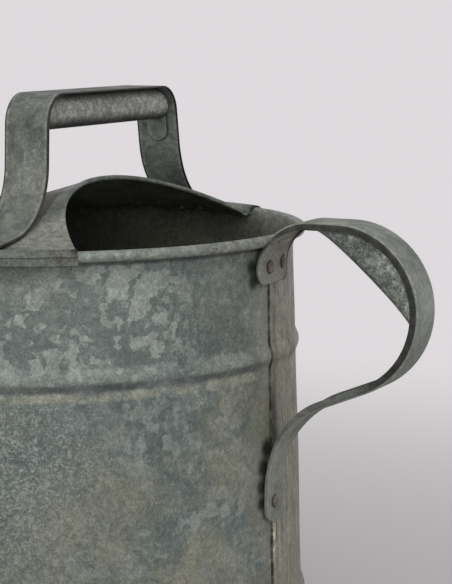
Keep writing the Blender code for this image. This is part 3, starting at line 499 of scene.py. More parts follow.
def hood_marks(here, colour):
    """A painted shadow of the leg beside its foot, painted light on the flank beside it, and a creased hem with
    rust and painted shadow at its cut ends.
    """
    parts = add("ShaderNodeSeparateXYZ", Vector=from_axis(here))
    x, y, z = parts.outputs[0], parts.outputs[1], parts.outputs[2]
    # The straight edge of the painted shadow that the near leg casts on the hood.
    fold = sums("SUBTRACT", sums("ADD", x, product(y, 0.266)), 26.5 * MM)
    # Painted light: the flank beside the leg's shadow is made paler, as where light falls on it.
    painted_lit_flank = near(here, (60, -82, 252), 38)
    colour = lay_colour(colour, (160, 160, 148), painted_lit_flank, patches(here, 60.0, 0.25, 0.6), 0.6)
    # Painted shadow of the near leg on the hood, in a brownish grey.
    painted_leg_shadow = product(between(fold, 1.0 * MM, -0.8 * MM), near(here, (34, -52, 262), 40))
    colour = lay_colour(colour, (66, 60, 51), painted_leg_shadow, 0.92)
    plan = add("ShaderNodeCombineXYZ", X=x, Y=y).outputs[0]
    reach = add("ShaderNodeVectorMath", {"operation": "LENGTH"}, Vector=plan).outputs["Value"]
    outer = between(reach, RIM_RADIUS - 1.0 * MM, RIM_RADIUS)
    colour = lay_colour(colour, (92, 95, 87), outer, 0.55)
    # A dark line along the hem's crease, between its roll and its skirt.
    line = add("ShaderNodeTexNoise", Vector=moved(here, scale=(1.0, 1.0, 0.0)), Scale=40.0, Detail=4.0)
    wave = sums("ADD", z, product(sums("SUBTRACT", line.outputs["Fac"], 0.5), 1.5 * MM))
    crease = product(outer, band(wave, RIM_HEIGHT + 0.4 * MM, 0.15 * MM, 0.5 * MM))
    colour = lay_colour(colour, (52, 50, 44), crease, 0.8)
    rust = product(near(here, (81, -108, 248), 9), patches(here, 420.0, 0.42, 0.60, 5.0, 0.7))
    colour = lay_colour(colour, (72, 52, 38), rust, 0.9)
    # Painted shadow at both cut ends of the hem, where they stand off the rim.
    corner = sums("MAXIMUM", near(here, (85.5, -106.0, 248.6), 4.6), near(here, (71, 113, 248), 4.5))
    return lay_colour(colour, (26, 24, 20), corner, 0.9)


# %% Marks on the straps
def strap_marks(here, colour):
    """Painted shade on the turned edges, a painted highlight just inside them, and a brown tongue."""
    edge = add("ShaderNodeAttribute", {"attribute_name": "edge"}).outputs["Fac"]
    painted_shade = add("ShaderNodeAttribute", {"attribute_name": "painted_shade"}).outputs["Fac"]
    # Painted highlight on the bend just inside each turned edge.
    painted_bend_highlight = product(band(edge, 0.62, 0.12, 0.30), patches(here, 160.0, 0.35, 0.6))
    colour = lay_colour(colour, (168, 171, 160), painted_bend_highlight, 0.35)
    tongue = product(near(here, (134, 2, 233), 24), patches(here, 120.0, 0.25, 0.6, 6.0, 0.7))
    colour = lay_colour(colour, (124, 113, 94), tongue, 0.62)
    broken = sums("ADD", product(patches(here, 240.0, 0.30, 0.62), 0.14), 0.86)
    # Painted shade: the turned edges are darkened, as where they turn away from the light.
    return lay_colour(colour, (34, 35, 31), between(edge, 0.84, 0.94), painted_shade, broken)


# %% Marks on the grip, the palm piece and the rivets
def grip_marks(here, colour):
    """Painted shade on the underside of the grip, which faces away from the light."""
    z = add("ShaderNodeSeparateXYZ", Vector=here).outputs[2]
    # Painted shade below the grip's axis.
    painted_underside_shade = between(z, RIM_HEIGHT + 59.5 * MM, RIM_HEIGHT + 53.0 * MM)
    return lay_colour(colour, (38, 39, 36), painted_underside_shade, 0.88)


def attribute_shade(here, colour):
    """Painted shade where a piece's own attribute says so."""
    painted_shade = add("ShaderNodeAttribute", {"attribute_name": "painted_shade"}).outputs["Fac"]
    return lay_colour(colour, (38, 36, 31), painted_shade, 0.85)


# %% The finishes of the can
# Dark, middle, light and warm tone; then how much of the warm tone, of flakes and of grain; and a seed
WALL_ZINC = zinc("wall_zinc", ((86, 98, 97), (110, 119, 115), (137, 144, 139), (118, 115, 100)),
                 0.40, 0.8, 0.72, 0.0, wall_marks)
# The inside's tones are painted lighter than the outer wall's, as painted light where little light reaches into
# the can.
INSIDE_ZINC = zinc("inside_zinc", ((118, 121, 110), (146, 148, 134), (166, 168, 154), (134, 127, 108)),
                   0.5, 0.3, 0.9, 4.0, inside_shade)
HOOD_ZINC = zinc("hood_zinc", ((84, 93, 90), (108, 115, 109), (138, 143, 136), (120, 112, 94)),
                 0.40, 0.5, 0.9, 7.0, hood_marks)
BAIL_ZINC = zinc("bail_zinc", ((82, 89, 85), (104, 110, 104), (130, 135, 127), (110, 105, 92)),
                 0.30, 0.4, 0.8, 9.0, strap_marks)
STRAP_ZINC = zinc("strap_zinc", ((100, 107, 101), (125, 131, 123), (150, 154, 145), (128, 123, 107)),
                  0.30, 0.25, 0.6, 11.0, strap_marks)
# The grip's tones are painted lighter than the other zinc, as painted light that makes up for the shade under
# the strap.
GRIP_ZINC = zinc("grip_zinc", ((138, 141, 137), (156, 159, 154), (180, 182, 177), (148, 144, 134)),
                 0.25, 0.2, 1.3, 13.0, grip_marks)
PALM_ZINC = zinc("palm_zinc", ((106, 112, 107), (132, 138, 131), (160, 165, 157), (104, 102, 90)),
                 0.25, 0.3, 1.7, 14.0, attribute_shade)
SPOUT_ZINC = zinc("spout_zinc", ((92, 102, 100), (118, 126, 121), (148, 154, 148), (122, 118, 102)),
                  0.4, 0.7, 1.0, 15.0)
STEEL = zinc("old_steel", ((84, 80, 72), (110, 106, 95), (142, 139, 128), (100, 86, 70)),
             0.4, 0.1, 1.0, 19.0, attribute_shade)

# %% [markdown]
# ## The wall
# One strip of sheet is rolled into a tapered tube with two swaged beads, its upper edge is curled round a
# wire and its lower edge folded in. The two ends overlap behind. A closed section carried round the axis
# makes all of that at once: up the outside, round the curl and down the inside.

# %% The wall's form
def wall_radius(z):
    """Outer radius of the plain tapered wall."""
    return WALL_FOOT_RADIUS - TAPER * z


def bead(angle, z):
    """Height of the swaged beads; the lower one dies out beside the spout."""
    height = 0.0
    for level in BEAD_LEVELS:
        across = abs(z - level) / BEAD_HALF
        if across < 1.0:
            height = BEAD_PROUD * (0.5 + 0.5 * math.cos(math.pi * across))
    if z < RIM_HEIGHT / 2.0:
        beside = abs(angle % (2.0 * math.pi) - math.pi) * WALL_FOOT_RADIUS
        height *= ease(beside, 40.5 * MM, 68.0 * MM)
    return height


def seam_lift(angle, z):
    """How far the outer layer stands proud beside the lap seam."""
    past = (angle - SEAM_ANGLE + math.pi) % (2.0 * math.pi) - math.pi
    if past < 0.0 or past > SEAM_EASE:
        return 0.0
    upright = ease(z, 0.0, 12.0 * MM) * ease(RIM_HEIGHT - z, FLARE, FLARE + 12.0 * MM)
    return SEAM_PROUD * (1.0 - past / SEAM_EASE) * upright


# %% Rows of the wall's section
bead_steps = (-6.5, -5, -3.5, -2, -0.7, 0.7, 2, 3.5, 5, 6.5)
beads = [level + step * MM for level in BEAD_LEVELS[::-1] for step in bead_steps]
plain = [3, 7, 12, 22, 32, 42, 72, 84, 96, 108, 120, 132, 144, 156, 168, 176, 202, 209, 216, 223, 230, 237]
levels = sorted(beads + [z * MM for z in plain])
curl = [math.radians(turn) for turn in range(165, -106, -15)]
wall_rows = [("foot", 135.1 * MM, 0.8 * MM), ("foot", 135.2 * MM, 0.1 * MM), ("foot", 136.2 * MM, 0.0)]
wall_rows += [("foot", 137.6 * MM, 0.0), ("foot", 138.15 * MM, 0.5 * MM)]
wall_rows += [("outer", z, 0.0) for z in levels]
wall_rows += [("curl", ROLL_INSIDE, turn) for turn in curl]
wall_rows += [("curl", ROLL_OUTSIDE, turn) for turn in curl[::-1]]
wall_rows += [("inner", z, 0.0) for z in levels[::-1]]
wall_rows.append(("foot", 137.4 * MM, 0.9 * MM))
wall_rows.append(wall_rows[0])
LAP = 11.0 * MM / WALL_TOP_RADIUS
wall_turns = [math.radians(1.5 * i) for i in range(-8, 233)]
for edge in (SEAM_ANGLE, SEAM_ANGLE + LAP):
    wall_turns += [edge - 0.0005, edge + 0.0005]
wall_turns.sort()
print("wall section", len(wall_rows), "rows,", len(wall_turns), "columns")


# %% Make the wall
def slanted(angle, z):
    """The angle with the seam's slant added near the seam."""
    past = abs((angle - SEAM_ANGLE + math.pi) % (2.0 * math.pi) - math.pi)
    return angle + (z - SEAM_LEVEL) * SEAM_SLANT / WALL_TOP_RADIUS * (1.0 - ease(past, 0.2, 0.6))


def wall_point(u, v):
    """A corner of the wall's sheet."""
    angle = wall_turns[round(u * (len(wall_turns) - 1))]
    kind, a, b = wall_rows[round(v * (len(wall_rows) - 1))]
    if kind == "foot":
        return polar(a, angle, b)
    if kind == "curl":
        knock = uneven(polar(RIM_RADIUS, angle, a), 14.0 * MM, 0.12 * MM, 3.0)
        return polar(RIM_RADIUS + (a + knock) * math.cos(b), angle, RIM_HEIGHT + (a + knock) * math.sin(b))
    dent = uneven(polar(1.0, angle, 0.0) * 0.13 + Vector((0.0, 0.0, a)), 55.0 * MM, 0.35 * MM)
    dent *= ease(a, 0.0, 30.0 * MM) * ease(RIM_HEIGHT - a, FLARE, 40.0 * MM)
    radius = wall_radius(a) + bead(angle, a) + dent
    if kind == "outer":
        return polar(radius + seam_lift(angle, a), slanted(angle, a), a)
    return polar(radius - SHEET - seam_lift(2.0 * SEAM_ANGLE + LAP - angle, a), slanted(angle, a), a)


body = formed("body_wall", len(wall_turns), len(wall_rows), wall_point)
body.data.materials.append(WALL_ZINC)
body.data.materials.append(INSIDE_ZINC)
for face in body.data.polygons:
    out = Vector((face.center.x - AXIS.x, face.center.y))
    if out.normalized().dot(face.normal.xy) < -0.5 and out.length < 137.6 * MM and face.center.z < RIM_HEIGHT:
        face.material_index = 1
settle(body, WALL_ZINC, "body_zinc", "body")

# %% [markdown]
# ## The hood
# Half of the mouth is covered by a lid that sweeps up to an arched edge. It was cut flat, hooked over the
# wired rim and folded back along the arch. Each line from the rim to the arch is one section of the sheet,
# and the sections fan out from the front of the can to the two ends of the mouth.

# %% The hood's lines
MOUTH = math.radians(49.3)
HEM_ENDS = {-1.0: math.radians(51.2), 1.0: math.radians(58.0)}
ARCH_START = 36.5 * MM
ARCH_RISE = 25.6 * MM
ARCH_SPANS = {-1.0: 96.0 * MM, 1.0: 107.0 * MM}
ARCH_SHIFT = 3.0 * MM
HEM_INSIDE = ROLL_OUTSIDE + GAP
HEM_OUTSIDE = HEM_INSIDE + SHEET
ARCH_HEM = 1.25 * MM


def arch_height(y):
    """Height of the arched edge above the lid."""
    off = y - ARCH_SHIFT
    span = ARCH_SPANS[math.copysign(1.0, off)]
    radius = (span ** 2 + ARCH_RISE ** 2) / (2.0 * ARCH_RISE)
    return max(0.0, math.sqrt(radius ** 2 - off ** 2) - (radius - ARCH_RISE)) if abs(off) < span else 0.0


def arch_point(share):
    """A point of the arched edge in plan; the far half is flatter than the near half."""
    end = polar(RIM_RADIUS, MOUTH, 0.0)
    if share >= 0.0:
        end = polar(RIM_RADIUS - 6.0 * MM, HEM_ENDS[1.0] + 0.01, 0.0)
    chord = end.x - ARCH_START
    radius = (chord ** 2 + end.y ** 2) / (2.0 * chord)
    turn = math.asin(end.y / radius) * (0.965 * share if share < 0.0 else share)
    return Vector((ARCH_START + radius * (1.0 - math.cos(turn)), radius * math.sin(turn), 0.0))


def hood_line(share):
    """The line in plan from the rim to the arch, share running from -1 to 1."""
    angle = math.pi - share * (math.pi - HEM_ENDS[math.copysign(1.0, share)])
    return angle, polar(RIM_RADIUS - HEM_OUTSIDE, angle, 0.0), arch_point(share)


def hood_rise(share, along):
    """Height of the lid's middle surface above the rim's middle."""
    return arch_height(arch_point(share).y) * along ** 2.1 - 0.3 * MM


# %% The hood's section
def hood_section(share):
    """Hem over the rim, lid, folded edge, and back along the underside."""
    angle, rim, arch = hood_line(share)
    skirt = 3.3 * MM + uneven(polar(RIM_RADIUS, angle, 0.0), 20.0 * MM, 0.25 * MM, 5.0)
    outer = [polar(RIM_RADIUS + HEM_OUTSIDE - 0.1 * MM, angle, RIM_HEIGHT - skirt)]
    inner = [polar(RIM_RADIUS + HEM_INSIDE + 0.1 * MM, angle, RIM_HEIGHT - skirt)]
    for turn in range(0, 141, 14):
        bend = math.radians(turn)
        for radius, side in ((HEM_OUTSIDE, outer), (HEM_INSIDE, inner)):
            level = RIM_HEIGHT + radius * math.sin(bend)
            side.append(polar(RIM_RADIUS + radius * math.cos(bend), angle, level))
    outer.append(polar(RIM_RADIUS - 3.45 * MM, angle, RIM_HEIGHT + 1.3 * MM))
    inner.append(polar(RIM_RADIUS - 2.9 * MM, angle, RIM_HEIGHT + 0.6 * MM))
    outer.append(polar(RIM_RADIUS - 4.2 * MM, angle, RIM_HEIGHT + 0.45 * MM))
    inner.append(polar(RIM_RADIUS - 3.4 * MM, angle, RIM_HEIGHT - 0.675 * MM))
    line = arch - rim
    for step in range(1, 27):
        along = (step / 26.0) ** 0.8
        middle = rim + line * (along * (1.0 - ARCH_HEM / line.length))
        dent = uneven(middle, 40.0 * MM, 0.35 * MM, 8.0) * along * (1.0 - along)
        middle.z = RIM_HEIGHT + hood_rise(share, along) + dent
        outer.append(middle + Vector((0.0, 0.0, SHEET / 2.0)))
        inner.append(middle - Vector((0.0, 0.0, SHEET / 2.0)))
    level = line.normalized()
    centre = arch.copy()
    centre.z = RIM_HEIGHT + hood_rise(share, 1.0)
    hem = []
    for turn in range(130, -131, -20):
        bend = math.radians(turn)
        rise = Vector((0.0, 0.0, ARCH_HEM * math.sin(bend)))
        hem.append(centre + level * (ARCH_HEM * math.cos(bend)) + rise)
    return outer + hem + inner[::-1] + outer[:1]


# %% Make the hood
hood_shares = spaced(-1.0, 1.0, 170)
hood_sections = [hood_section(share) for share in hood_shares]


def hood_point(u, v):
    """A corner of the hood's sheet."""
    section = hood_sections[round(u * (len(hood_sections) - 1))]
    return section[round(v * (len(section) - 1))]


hood = formed("hood_sheet", len(hood_sections), len(hood_sections[0]), hood_point)
settle(hood, HOOD_ZINC, "hood_zinc", "hood")

# %% [markdown]
# ## Straps
# The rear handle and the stay are strips whose edges were turned down for stiffness and for the hand, and the
# carrying handle is a plain strip. A path of straight runs and bends gives each station's place and heading,
# and the strip's section, flat or a shallow channel, is carried along it.

# %% Follow a path of runs and bends
def trace(start, heading, moves, run_step=5.0 * MM, bend_step=math.radians(4.0)):
    """Stations (place, heading, distance gone) along runs (length, 0) and bends (radius, turn)."""
    place = Vector(start)
    stations = [(place.copy(), heading, 0.0)]
    gone = 0.0
    for size, turn in moves:
        if turn == 0.0:
            steps = max(1, round(size / run_step))
            stride = size / steps
        else:
            steps = max(1, math.ceil(abs(turn) / bend_step))
            stride = 2.0 * size * math.sin(abs(turn) / steps / 2.0)
        for _ in range(steps):
            heading += turn / steps / 2.0
            place = place + Vector((math.cos(heading), math.sin(heading))) * stride
            heading += turn / steps / 2.0
            gone += size / steps if turn == 0.0 else size * abs(turn) / steps
            stations.append((place.copy(), heading, gone))
    return stations


# %% The strip's section
def channel(width, edge, thick):
    """A closed loop (across, out, edge mark) round a strip with its edges turned down."""
    depth = max(edge, 0.3 * MM)
    bend = min(1.7 * MM, depth)
    half = width / 2.0
    middle = [(half - thick / 2.0, -depth, 0.0)]
    for turn in spaced(0.0, math.pi / 2.0, 6):
        middle.append((half - thick / 2.0 - bend * (1.0 - math.cos(turn)), -bend + bend * math.sin(turn), turn))
    flat = half - thick / 2.0 - bend
    middle += [(flat * share, 0.0, math.pi / 2.0) for share in (0.75, 0.4, 0.0)]
    middle += [(-u, v, math.pi - turn) for u, v, turn in middle[-2::-1]]
    loop = []
    for side, run in ((1.0, middle), (-1.0, middle[::-1])):
        for u, v, turn in run:
            reach = side * thick / 2.0
            mark = ease(abs(u), half - 3.2 * MM, half - 0.3 * MM)
            loop.append((u + reach * math.cos(turn), v + reach * math.sin(turn), mark))
    return loop + loop[:1]


def rounded(width, from_end, corner):
    """A strip's width near an end whose corners are rounded off."""
    if from_end >= corner:
        return width
    return width - 1.8 * (corner - math.sqrt(max(0.0, corner ** 2 - (corner - from_end) ** 2)))


def corner_runs(corner):
    """Short runs that give a rounded end its shape."""
    return [(corner * share, 0.0) for share in (0.04, 0.08, 0.12, 0.2, 0.26, 0.3)]


# %% Carry the section along a path
def strap(name, stations, section_at, place_at, shade_at=lambda gone: 1.0):
    """A strip with its own marks for how near an edge is and how much painted shade that edge gets."""
    loops = [section_at(station) for station in stations]

    def corner(u, v):
        loop = loops[round(u * (len(loops) - 1))]
        return stations[round(u * (len(loops) - 1))], loop[round(v * (len(loop) - 1))]

    def point(u, v):
        station, (across, out, _) = corner(u, v)
        return place_at(station, across, out)

    def trail(u, v):
        station, (_, _, mark) = corner(u, v)
        return mark, shade_at(station[2])

    return formed(name, len(loops), len(loops[0]), point, trail)


# %% [markdown]
# ## The carrying handle
# It stands across the can: a strip that goes up from the hood, over a round grip and down again. Its feet
# flare out and lie on the hood. The foot has to clear the curved hood, so its line is worked out from the
# hood's own height.

# %% Height of the hood under a foot
BAIL_X = 35.5 * MM
BAIL_WIDTH = 24.2 * MM
BAIL_SPANS = {-1.0: 65.6 * MM, 1.0: 67.3 * MM}
BAIL_CORNER = 14.5 * MM
BAIL_LEGS = {-1.0: (math.radians(2.5), 33.0 * MM), 1.0: (math.radians(9.5), 42.0 * MM)}
BAIL_FOOT = RIM_RADIUS - 15.0 * MM
BAIL_TOP = RIM_HEIGHT + 70.2 * MM
BAIL_MIDDLE_Z = BAIL_TOP - STRAP / 2.0
FOOT_CORNER = 7.0 * MM


def hood_top(x, y):
    """Height of the hood's upper face at a place in plan."""
    side = math.copysign(1.0, y)
    low, high = 0.0, 1.0
    for _ in range(40):
        share = (low + high) / 2.0
        _, rim, arch = hood_line(side * share)
        past = side * ((arch.x - rim.x) * (y - rim.y) - (arch.y - rim.y) * (x - rim.x))
        low, high = (share, high) if past > 0.0 else (low, share)
    along = (Vector((x, y, 0.0)) - rim).length / (arch - rim).length
    return RIM_HEIGHT + hood_rise(side * share, along) + SHEET / 2.0


def foot_height(side, reach):
    """Height at which a foot clears the hood."""
    under = [hood_top(BAIL_X + BAIL_WIDTH * share, side * reach) for share in (-0.5, 0.0, 0.5)]
    return max(under) + GAP + 0.5 * MM + STRAP / 2.0


# %% Stations of the carrying handle
def leg_moves(side, seat, slope):
    """From the middle of the top round the corner, down a leg and out to the foot."""
    lean, flare = BAIL_LEGS[side]
    upright = math.pi / 2.0 - lean
    corner_drop = BAIL_CORNER * (1.0 - math.cos(upright))
    flare_drop = flare * (math.cos(slope) - math.cos(upright))
    leg = (BAIL_MIDDLE_Z - corner_drop - flare_drop - seat) / math.cos(lean)
    moves = [(BAIL_SPANS[side] - STRAP / 2.0 - BAIL_CORNER, 0.0), (BAIL_CORNER, -upright)]
    return moves + [(leg, 0.0), (flare, upright - slope)]


def foot_line(side):
    """Where a foot's flare lands, its height there and its slope to the rim."""
    reach = BAIL_SPANS[side] + BAIL_LEGS[side][1]
    for _ in range(6):
        seat = foot_height(side, reach)
        slope = math.atan((seat - foot_height(side, BAIL_FOOT)) / (BAIL_FOOT - reach))
        reach = trace((0.0, BAIL_MIDDLE_Z), 0.0, leg_moves(side, seat, slope))[-1][0].x
    return reach, seat, slope


def half_handle(side):
    """One half of the handle's path."""
    reach, seat, slope = foot_line(side)
    foot = (BAIL_FOOT - reach) / math.cos(slope) - FOOT_CORNER
    moves = leg_moves(side, seat, slope) + [(foot, 0.0)] + corner_runs(FOOT_CORNER)[::-1]
    return trace((0.0, BAIL_MIDDLE_Z), 0.0, moves)


bail_feet = {side: foot_line(side) for side in (-1.0, 1.0)}
bail_left, bail_right = half_handle(-1.0), half_handle(1.0)
bail_stations = [(Vector((-p.x, p.y)), -heading, -gone) for p, heading, gone in bail_left[:0:-1]] + bail_right
print("handle stations", len(bail_stations), "feet land at", [round(foot[0], 4) for foot in bail_feet.values()])


# %% Make the carrying handle
def bail_section(station):
    """A plain strip with rounded ends."""
    gone = station[2]
    left = bail_right[-1][2] - gone if gone > 0.0 else bail_left[-1][2] + gone
    width = rounded(BAIL_WIDTH, left, FOOT_CORNER)
    width += uneven(Vector((0.0, gone, 0.0)), 18.0 * MM, 0.25 * MM, 2.0)
    return channel(width, 0.0, STRAP)


def bail_place(station, across, out):
    """A point of the handle, which stands across the can."""
    place, heading, _ = station
    return Vector((BAIL_X + across, place.x - out * math.sin(heading), place.y + out * math.cos(heading)))


bail = strap("handle_strap", bail_stations, bail_section, bail_place)
settle(bail, BAIL_ZINC, "handle_zinc", "bail_strap")


# %% [markdown]
# ## The grip and its tabs
# Under the strip lies a round grip of rolled sheet. Its ends follow the strip's corners, and a round ended
# tab closes it against each leg.

# %% Make the grip
GRIP_RADIUS = 8.1 * MM
END_GAP = 1.1 * MM
GRIP_AXIS = BAIL_TOP - STRAP - 2.0 * GAP - GRIP_RADIUS


def grip_reach(z, side):
    """Half length of the grip at a height."""
    inside = BAIL_CORNER - STRAP / 2.0 - GAP
    into = max(0.0, z - (BAIL_MIDDLE_Z - BAIL_CORNER))
    straight = BAIL_SPANS[side] - STRAP / 2.0 - BAIL_CORNER
    return straight + math.sqrt(max(0.0, inside ** 2 - into ** 2)) - END_GAP


def grip_point(u, v):
    """A corner of the grip: flat end caps and the length between."""
    turn = 2.0 * math.pi * v
    out, up = (math.copysign(abs(value) ** 0.8, value) for value in (math.cos(turn), math.sin(turn)))
    side = -1.0 if u < 0.5 else 1.0
    place = abs(2.0 * u - 1.0)
    cap = max(0.0, (place - 0.9) / 0.1)
    radius = GRIP_RADIUS * (1.0 - cap) if place > 0.901 else GRIP_RADIUS
    z = GRIP_AXIS + radius * up
    reach = grip_reach(z, side) * min(1.0, place / 0.9)
    knock = uneven(Vector((0.0, side * reach, z)), 16.0 * MM, 0.2 * MM, 6.0) - 0.1 * MM
    return Vector((BAIL_X + (radius + knock * (1.0 - cap)) * out, side * reach, z))


grip = formed("grip_roll", 81, 65, grip_point)
settle(grip, GRIP_ZINC, "handle_zinc", "grip_tube")


# %% Make the tabs
TAB_RADIUS = 6.0 * MM
TAB_THICK = 0.8 * MM
TAB_DROP = 23.6 * MM


def tab(name, side):
    """A disc whose upper half is drawn up straight, thickened and laid against a leg."""
    low = BAIL_TOP - TAB_DROP
    high = BAIL_TOP - BAIL_CORNER - STRAP
    lean = BAIL_LEGS[side][0]
    deselect()
    bpy.ops.mesh.primitive_circle_add(vertices=32, radius=TAB_RADIUS, fill_type="NGON")
    piece = bpy.context.object
    piece.name = name
    for corner in piece.data.vertices:
        up = corner.co.y
        z = low + up if up < 0.0 else low + up / TAB_RADIUS * (high - low)
        across = corner.co.x
        if up >= 0.0:
            across = math.copysign(TAB_RADIUS, across) if abs(across) > 1e-6 else 0.0
        leaning = math.tan(lean) * (high + 1.5 * MM - z)
        out = BAIL_SPANS[side] - STRAP - GAP - TAB_THICK + leaning
        corner.co = AXIS + Vector((BAIL_X + across, side * out, z))
    bpy.ops.object.mode_set(mode="EDIT")
    bpy.ops.mesh.select_all(action="SELECT")
    bpy.ops.mesh.extrude_region_move(TRANSFORM_OT_translate={"value": (0.0, side * TAB_THICK, 0.0)})
    bpy.ops.object.mode_set(mode="OBJECT")
    close_up(piece)
    trim = piece.modifiers.new("soft edge", "BEVEL")
    trim.width = 0.2 * MM
    trim.segments = 2
    bpy.ops.object.modifier_apply(modifier=trim.name)
    bpy.ops.object.mode_set(mode="EDIT")
    bpy.ops.mesh.select_all(action="DESELECT")
    bpy.ops.object.mode_set(mode="OBJECT")
    for face in piece.data.polygons:
        face.select = abs(face.normal.y) > 0.9 and len(face.vertices) > 8
    bpy.ops.object.mode_set(mode="EDIT")
    bpy.ops.mesh.inset(thickness=0.55 * MM)
    bpy.ops.object.mode_set(mode="OBJECT")
    inner = {number for face in piece.data.polygons if face.select for number in face.vertices}
    # The tab's rim is marked as an edge with full painted shade.
    marks = [0.0 if corner.index in inner else 1.0 for corner in piece.data.vertices]
    for word in ("edge", "painted_shade"):
        layer = piece.data.attributes.new(word, "FLOAT", "POINT")
        layer.data.foreach_set("value", marks)
    return piece


for word, side in (("left", -1.0), ("right", 1.0)):
    settle(tab("tab_" + word, side), STRAP_ZINC, "handle_zinc", "grip_tab_" + word)

# %% [markdown]
# ## The rear handle
# A second strip is riveted to the wall as a broad tongue, climbs over the rim, makes a loop for the tipping
# hand and comes back to the wall as a narrow heel. A half round palm piece fills the top of the loop.

# %% Path of the rear handle
REAR_BEND = 26.0 * MM
REAR_LOOP = 41.0 * MM
HEEL_BEND = 43.5 * MM
HEEL_LENGTH = 16.5 * MM
HEEL_SHIFT = -5.5 * MM
TONGUE_ROUND, HEEL_ROUND = 7.0 * MM, 5.0 * MM
TONGUE_WIDTH, LOOP_WIDTH, HEEL_WIDTH = 35.4 * MM, 25.6 * MM, 19.0 * MM
TONGUE_EDGE, LOOP_EDGE = 0.85 * MM, 3.4 * MM
LOOP_TURN = math.radians(158.0)
ON_WALL = SEAM_PROUD + GAP + STRAP / 2.0
tongue_z = RIM_HEIGHT - 21.0 * MM
rear_start = Vector((wall_radius(tongue_z) + ON_WALL, tongue_z))
to_loop = corner_runs(TONGUE_ROUND) + [(REAR_BEND - 3.0 * MM, -math.pi / 2.0 - LEAN), (14.0 * MM, 0.0)]
loop_moves = to_loop + [(REAR_LOOP, -LOOP_TURN)]
loop_end, loop_heading, _ = trace(rear_start, math.pi / 2.0 + LEAN, loop_moves)[-1]
last_turn = 1.5 * math.pi + LEAN - (loop_heading + 2.0 * math.pi)
bend_x = HEEL_BEND * (math.sin(loop_heading + last_turn) - math.sin(loop_heading))
bend_z = -HEEL_BEND * (math.cos(loop_heading + last_turn) - math.cos(loop_heading))
run = 0.0
for _ in range(6):
    z = loop_end.y + run * math.sin(loop_heading) + bend_z
    run = (wall_radius(z) + ON_WALL - loop_end.x - bend_x) / math.cos(loop_heading)
rear_moves = loop_moves + [(run, 0.0), (HEEL_BEND, last_turn), (HEEL_LENGTH - HEEL_ROUND, 0.0)]
rear_moves += corner_runs(HEEL_ROUND)[::-1]
rear_stations = trace(rear_start, math.pi / 2.0 + LEAN, rear_moves)
REAR_TOTAL = rear_stations[-1][2]
OFF, TOP = TONGUE_ROUND, TONGUE_ROUND + REAR_BEND * math.pi / 2.0
LOOP_END = TOP + 12.0 * MM + REAR_LOOP * LOOP_TURN
HEEL = REAR_TOTAL - HEEL_LENGTH - HEEL_BEND * math.radians(68.0)
print("rear stations", len(rear_stations), "length", round(REAR_TOTAL, 4))


# %% Make the rear handle
def rear_section(station):
    """A wide tongue, a channel round the loop and a narrow flat heel."""
    gone = station[2]
    climb, settled = ease(gone, OFF, TOP), ease(gone, HEEL, REAR_TOTAL - HEEL_LENGTH)
    width = TONGUE_WIDTH - (TONGUE_WIDTH - LOOP_WIDTH) * climb - (LOOP_WIDTH - HEEL_WIDTH) * settled
    width += uneven(Vector((0.0, 0.0, gone)), 20.0 * MM, 0.3 * MM, 4.0) - 0.2 * MM
    width = rounded(rounded(width, gone, TONGUE_ROUND), REAR_TOTAL - gone, HEEL_ROUND)
    edge = (TONGUE_EDGE + (LOOP_EDGE - TONGUE_EDGE) * climb) * (1.0 - settled)
    return channel(width, edge, STRAP)


def rear_place(station, across, out):
    """A point that hugs the round wall at both ends and is pushed aside at the heel."""
    place, heading, gone = station
    y = across + HEEL_SHIFT * ease(gone, HEEL, REAR_TOTAL)
    hug = max(1.0 - ease(gone, OFF, TOP), ease(gone, HEEL, REAR_TOTAL - HEEL_LENGTH))
    bow = hug * (WALL_TOP_RADIUS - math.sqrt(WALL_TOP_RADIUS ** 2 - y ** 2))
    return Vector((place.x - out * math.sin(heading) - bow, y, place.y + out * math.cos(heading)))


def rear_edge_shade(gone):
    """The painted shade on the turned edges is darkest over the rim and round the loop."""
    after_loop = ease(gone, LOOP_END - 14.0 * MM, LOOP_END + 10.0 * MM)
    return 0.25 + 0.75 * ease(gone, 0.2 * TOP, 0.6 * TOP) * (1.0 - 0.8 * after_loop)


rear = strap("rear_handle", rear_stations, rear_section, rear_place, rear_edge_shade)
settle(rear, STRAP_ZINC, "handle_zinc", "rear_strap")

# %% Make the palm piece
palm_middle = trace(rear_start, math.pi / 2.0 + LEAN, to_loop)[-1][0] - Vector((0.0, REAR_LOOP))
PALM_REACH = (REAR_LOOP - STRAP / 2.0) * math.cos(math.radians(7.5)) - GAP
PALM_START, PALM_END = math.radians(106.0), math.radians(-11.0)


def palm_point(u, v):
    """A corner of the half round filling, thickest in the middle of its length."""
    angle = PALM_END + (PALM_START - PALM_END) * u
    chord = (PALM_REACH - 1.0 * MM) * math.cos((PALM_START - PALM_END) / 2.0)
    depth = PALM_REACH - chord / math.cos(angle - (PALM_START + PALM_END) / 2.0)
    turn = math.pi * v / 0.8 if v < 0.8 else math.pi
    back = (v - 0.8) / 0.2 if v > 0.8 else 0.0
    knock = uneven(polar(0.05, angle, turn * 0.01), 9.0 * MM, 0.15 * MM, 9.0)
    radius = PALM_REACH - depth * math.sin(turn) ** 0.8 + knock * math.sin(turn)
    side = (LOOP_WIDTH / 2.0 - STRAP - GAP) * (math.cos(turn) + 2.0 * back)
    return Vector((palm_middle.x + radius * math.cos(angle), side, palm_middle.y + radius * math.sin(angle)))


def palm_shade(u, v):
    """Painted shade along the chord, where the half round turns away from the light."""
    return 0.0, 0.85 * ease(math.sin(math.pi * min(1.0, v / 0.8)), 0.72, 0.97)


palm = formed("palm_filling", 49, 61, palm_point, palm_shade)
settle(palm, PALM_ZINC, "handle_zinc", "rear_palm")

